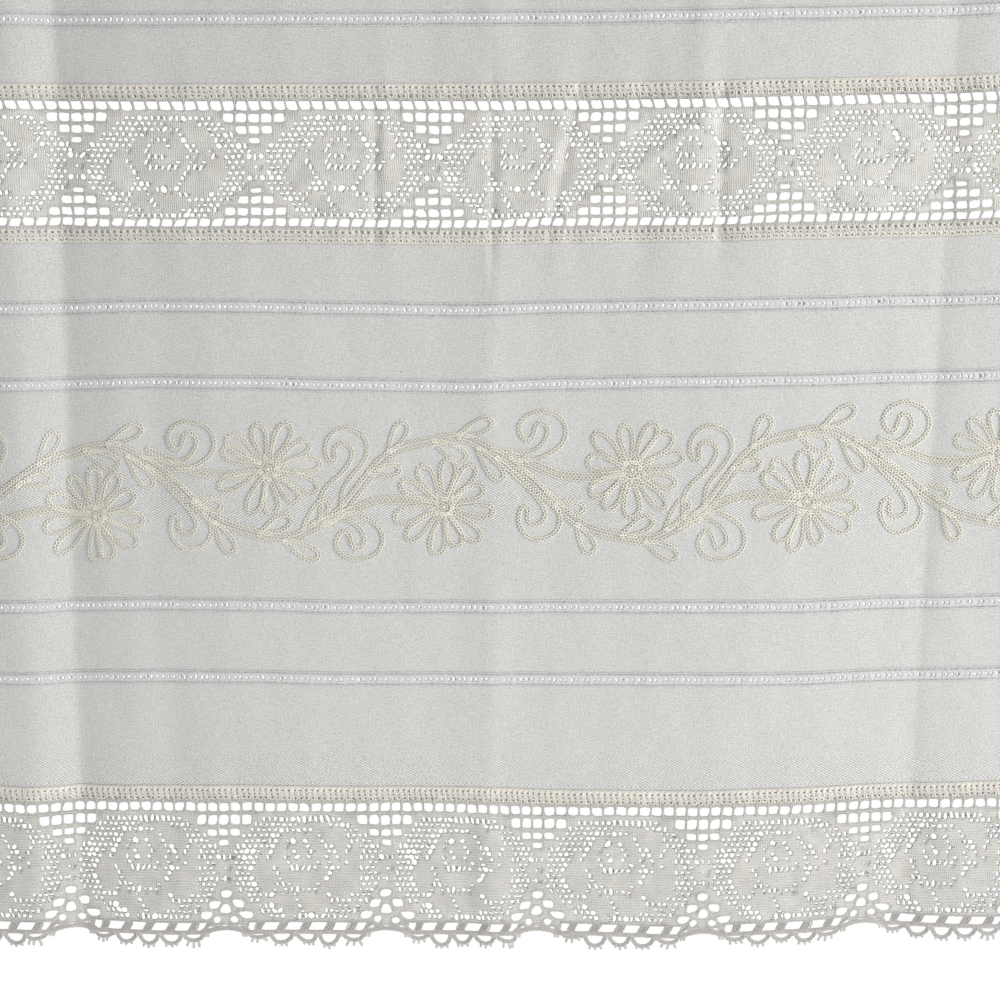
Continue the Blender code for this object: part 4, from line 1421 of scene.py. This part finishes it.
def add_chain(shape, path, random, closed=False):
    """Chain stitches along a flat path: each link is two strands that part and meet again, over a strip of
    painted shade.
    """
    spots = resample(path, STITCH, closed)
    spots = spots + random.normal(0.0, 0.07, spots.shape)
    following = np.roll(spots, -1, axis=0) if closed else spots[1:]
    spots = spots if closed else spots[:-1]
    inside = np.abs(spots[:, 0]) < HALF_WIDTH - HEM - 2.0
    spots, following = spots[inside], following[inside]
    if len(spots) == 0:
        return
    ahead = following - spots
    aside = np.stack((-ahead[:, 1], ahead[:, 0]), axis=1)
    aside /= np.linalg.norm(aside, axis=1, keepdims=True)
    links = len(spots)
    width = random.uniform(0.85, 1.15, links)
    rise = random.uniform(0.0, 0.4)
    rings = np.zeros((links, 2, STATIONS, CORNERS, 3))
    for strand, side in enumerate((-1.0, 1.0)):
        for station, radius in enumerate(CHAIN_RADIUS):
            centre = spots + ahead * CHAIN_ALONG[station]
            centre = centre + aside * (side * CHAIN_ASIDE[station] * width)[:, None]
            for corner in range(CORNERS):
                turn = math.tau * (corner + 0.5) / CORNERS
                rings[:, strand, station, corner, :2] = centre + aside * (radius * math.cos(turn))
                rings[:, strand, station, corner, 2] = CHAIN_OUT[station] + rise + radius * math.sin(turn)
    base = STATIONS * CORNERS * np.arange(2 * links)
    quads = []
    for station in range(STATIONS - 1):
        for corner in range(CORNERS):
            here = base + station * CORNERS + corner
            beside = base + station * CORNERS + (corner + 1) % CORNERS
            quads.append(np.stack((here, beside, beside + CORNERS, here + CORNERS), axis=1))
    shade = np.tile(CHAIN_SHADE[:, None] + STRAND_SHADE, (2 * links, 1, 1)).ravel()
    shape.add(rings.reshape(-1, 3), np.concatenate(quads), shade)
    # A strip of painted shade under each link, seen between its strands.
    shade_strip = np.full((links, 4, 3), SHADE_STRIP_OUT)
    for corner, (along, side) in enumerate(((0.0, -1.0), (0.0, 1.0), (1.0, 1.0), (1.0, -1.0))):
        shade_strip[:, corner, :2] = spots + ahead * along + aside * (side * SHADE_STRIP_HALF)
    shape.add(shade_strip.reshape(-1, 3), np.arange(4 * links).reshape(-1, 4), 1.0)


def loop_path(start, tip, half_width):
    """A leaf or petal: a narrow loop from its start round its tip and back."""
    turn = np.linspace(0.0, math.tau, 40)
    share = 0.5 - 0.5 * np.cos(turn)
    ahead = tip - start
    aside = np.array((-ahead[1], ahead[0])) / np.linalg.norm(ahead)
    width = half_width * np.sin(turn) * (0.25 + 1.05 * share)
    return start + ahead * share[:, None] + aside * width[:, None]


def add_flower(shape, middle, flip, random):
    """A ring of uneven petals round two small rings."""
    for petal in range(PETALS):
        turn = STEM_SIDE + math.tau * (petal + 0.75) / (PETALS + 0.5) + random.normal(0.0, 0.07)
        reach = PETAL_REACH * random.uniform(0.87, 1.07)
        way = np.array((math.sin(turn), -PETAL_SQUASH * math.cos(turn) * flip))
        half_width = PETAL_HALF_WIDTH * random.uniform(0.85, 1.12)
        start = PETAL_START * random.uniform(0.9, 1.6)
        add_chain(shape, loop_path(middle + way * start, middle + way * reach, half_width), random)
    turn = np.linspace(0.0, math.tau, 12, endpoint=False)
    for radius in FLOWER_RINGS:
        uneven = radius * random.uniform(0.85, 1.15, (12, 1))
        ring = middle + uneven * np.stack((np.cos(turn), np.sin(turn)), axis=1)
        add_chain(shape, ring, random, closed=True)


def add_unit(shape, unit, random):
    """One flower with its leaves, scrolls and stem. Returns its stretch of the vine."""
    flip = -1.0 if unit.high else 1.0

    def at(spot, shift=(0.0, 0.0)):
        return np.array((unit.across + (spot[0] + shift[0]), unit.down + flip * (spot[1] + shift[1])))

    for leaf in LEAVES:
        tip = at(leaf.tip) + random.normal(0.0, 0.8, 2)
        add_chain(shape, loop_path(at(leaf.start), tip, leaf.width), random)
    add_flower(shape, at((0.0, 0.0)), flip, random)
    for scroll in SCROLLS:
        turn = [at(spot, scroll.high if unit.high else scroll.low) for spot in scroll.turn]
        add_chain(shape, curve([at(scroll.start), *turn, at(scroll.end)]), random)
    for shift in STEM_CHAINS:
        add_chain(shape, curve([at(spot, (0.0, shift)) for spot in STEM]), random)
    return [at(spot) for spot in VINE]


def add_embroidery(finish):
    """All the chain stitches: each unit in turn, then the vine through them all."""
    random = np.random.default_rng(EMBROIDERY_SEED)
    shape = Shape()
    vine = []
    for unit in UNITS:
        vine += add_unit(shape, unit, random)
    vine = resample(curve(vine), 1.0)
    _, aside = directions(vine)
    for offset in VINE_CHAINS:
        add_chain(shape, vine + aside * offset, random)
    return make(shape, "embroidery", finish, "embroidery")


# Floor, light and camera.


FLOOR_HALF = 0.8
FLOOR_LOW = -1.1


def add_floor():
    finish = bpy.data.materials.new("floor")
    finish.use_nodes = True
    shader = finish.node_tree.nodes["Principled BSDF"]
    shader.inputs["Base Color"].default_value = (0.86, 0.86, 0.85, 1.0)
    shader.inputs["Roughness"].default_value = 0.8
    corners = ((-1, -1), (1, -1), (1, 1), (-1, 1))
    mesh = bpy.data.meshes.new("floor")
    mesh.from_pydata([(FLOOR_HALF * x, FLOOR_HALF * y, FLOOR_LOW) for x, y in corners], [], [(0, 1, 2, 3)])
    mesh.materials.append(finish)
    floor = bpy.data.objects.new("floor", mesh)
    bpy.context.scene.collection.objects.link(floor)


# Lights are in metres and watts.
Light = namedtuple("Light", "name place target size energy")
LIGHTS = (
    Light("key", (2.0, -1.3, 0.2), (0.0, 0.0, -0.4), (0.8, 0.8), 46.5),
    Light("side", (-1.2, -1.0, -0.4), (-0.1, 0.0, -0.5), (0.6, 0.6), 2.2),
    Light("back", (-0.9, 1.7, 0.1), (0.0, 0.0, -0.4), (1.0, 1.0), 22.0),
    Light("fill", (0.3, -1.5, -1.05), (0.0, 0.0, -0.6), (1.0, 0.5), 8.5),
)
WORLD_SEEN = 1.0
WORLD_LIT = 0.285


def add_light(light):
    """A soft white rectangle that the camera doesn't see."""
    made = bpy.data.lights.new(light.name, "AREA")
    made.shape = "RECTANGLE"
    made.size, made.size_y = light.size
    made.energy = light.energy
    lamp = bpy.data.objects.new(light.name, made)
    lamp.location = light.place
    lamp.visible_camera = False
    way = Vector(light.target) - Vector(light.place)
    lamp.rotation_euler = way.to_track_quat("-Z", "Y").to_euler()
    bpy.context.scene.collection.objects.link(lamp)


def add_world():
    """Plain white to the camera, and a softer white as light."""
    world = bpy.data.worlds.new("studio")
    world.use_nodes = True
    nodes, links = world.node_tree.nodes, world.node_tree.links
    background = nodes["Background"]
    background.inputs["Color"].default_value = (1.0, 1.0, 1.0, 1.0)
    ray = nodes.new("ShaderNodeLightPath")
    strength = nodes.new("ShaderNodeMapRange")
    strength.inputs["To Min"].default_value = WORLD_LIT
    strength.inputs["To Max"].default_value = WORLD_SEEN
    links.new(ray.outputs["Is Camera Ray"], strength.inputs["Value"])
    links.new(strength.outputs["Result"], background.inputs["Strength"])
    bpy.context.scene.world = world


CAMERA_LENS = 72.0
CAMERA_SENSOR = 36.0
CAMERA_DISTANCE = 1.1
CAMERA_ELEVATION = math.radians(8.7)
LOOK_AT = Vector((0.0, 0.0, -0.444))


def add_camera():
    camera = bpy.data.cameras.new("camera")
    camera.lens = CAMERA_LENS
    camera.sensor_width = CAMERA_SENSOR
    camera.clip_start = 0.05
    holder = bpy.data.objects.new("camera", camera)
    back = CAMERA_DISTANCE * math.cos(CAMERA_ELEVATION)
    rise = CAMERA_DISTANCE * math.sin(CAMERA_ELEVATION)
    holder.location = LOOK_AT + Vector((0.0, -back, rise))
    holder.rotation_euler = (math.radians(90.0) - CAMERA_ELEVATION, 0.0, 0.0)
    bpy.context.scene.collection.objects.link(holder)
    bpy.context.scene.camera = holder


def add_curtain():
    """Every piece of the curtain, with what is sewn to each sheet gathered by sheet."""
    cloth = cloth_finish()
    tape = tape_finish()
    insertion_ground = lace_finish("insertion_lace", (0.615, 0.60, 0.55), 0.2, 0.10)
    edging_ground = lace_finish("edging_lace", (0.55, 0.535, 0.495), 0.24, 0.10, 0.5, 0.55)
    footing = lace_finish("footing", (0.81, 0.77, 0.685), 0.05, 0.05)
    # The third number of each thread finish is the strength of its painted shade.
    threads = thread_finish("lace_thread", (0.69, 0.67, 0.63), 0.42)
    plaits = thread_finish("plaits", (0.64, 0.615, 0.585), 0.55)
    tape_threads = thread_finish("tape_thread", (0.70, 0.70, 0.69), 0.15)
    footing_threads = thread_finish("footing_thread", (0.82, 0.785, 0.71), 0.3)
    stitches = thread_finish("embroidery", (0.94, 0.91, 0.81), 0.34, spread=0.1)

    strips = add_cloth(cloth)
    sewn_on = {name: [] for name in strips}
    sewn_on["cloth_embroidered"].append(add_embroidery(stitches))
    # Ladder tapes are too narrow to declare alone, so each goes with the strip above it.
    for number, (name, middle) in enumerate(zip(strips_above_tapes(strips), LADDERS), start=1):
        sewn_on[name] += add_tape(number, middle, tape, tape_threads)
    for name, (piece, length) in strips.items():
        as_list(sewn_on[name])
    lace, sewn = add_insertion(insertion_ground, footing, threads, footing_threads)
    length = (INSERTION_END - INSERTION_TOP + 2.0 * GROUND_LAP) * MM
    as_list(sewn)
    lace, sewn = add_edging(edging_ground, footing, threads, footing_threads, plaits)
    length = (BAND_FOOT + GROUND_LAP) * MM
    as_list(sewn)


def main():
    add_camera()
    add_curtain()
    add_floor()
    add_world()
    for light in LIGHTS:
        add_light(light)
    scene = bpy.context.scene
    scene.view_settings.view_transform = "Standard"
    scene.view_settings.look = "None"


main()
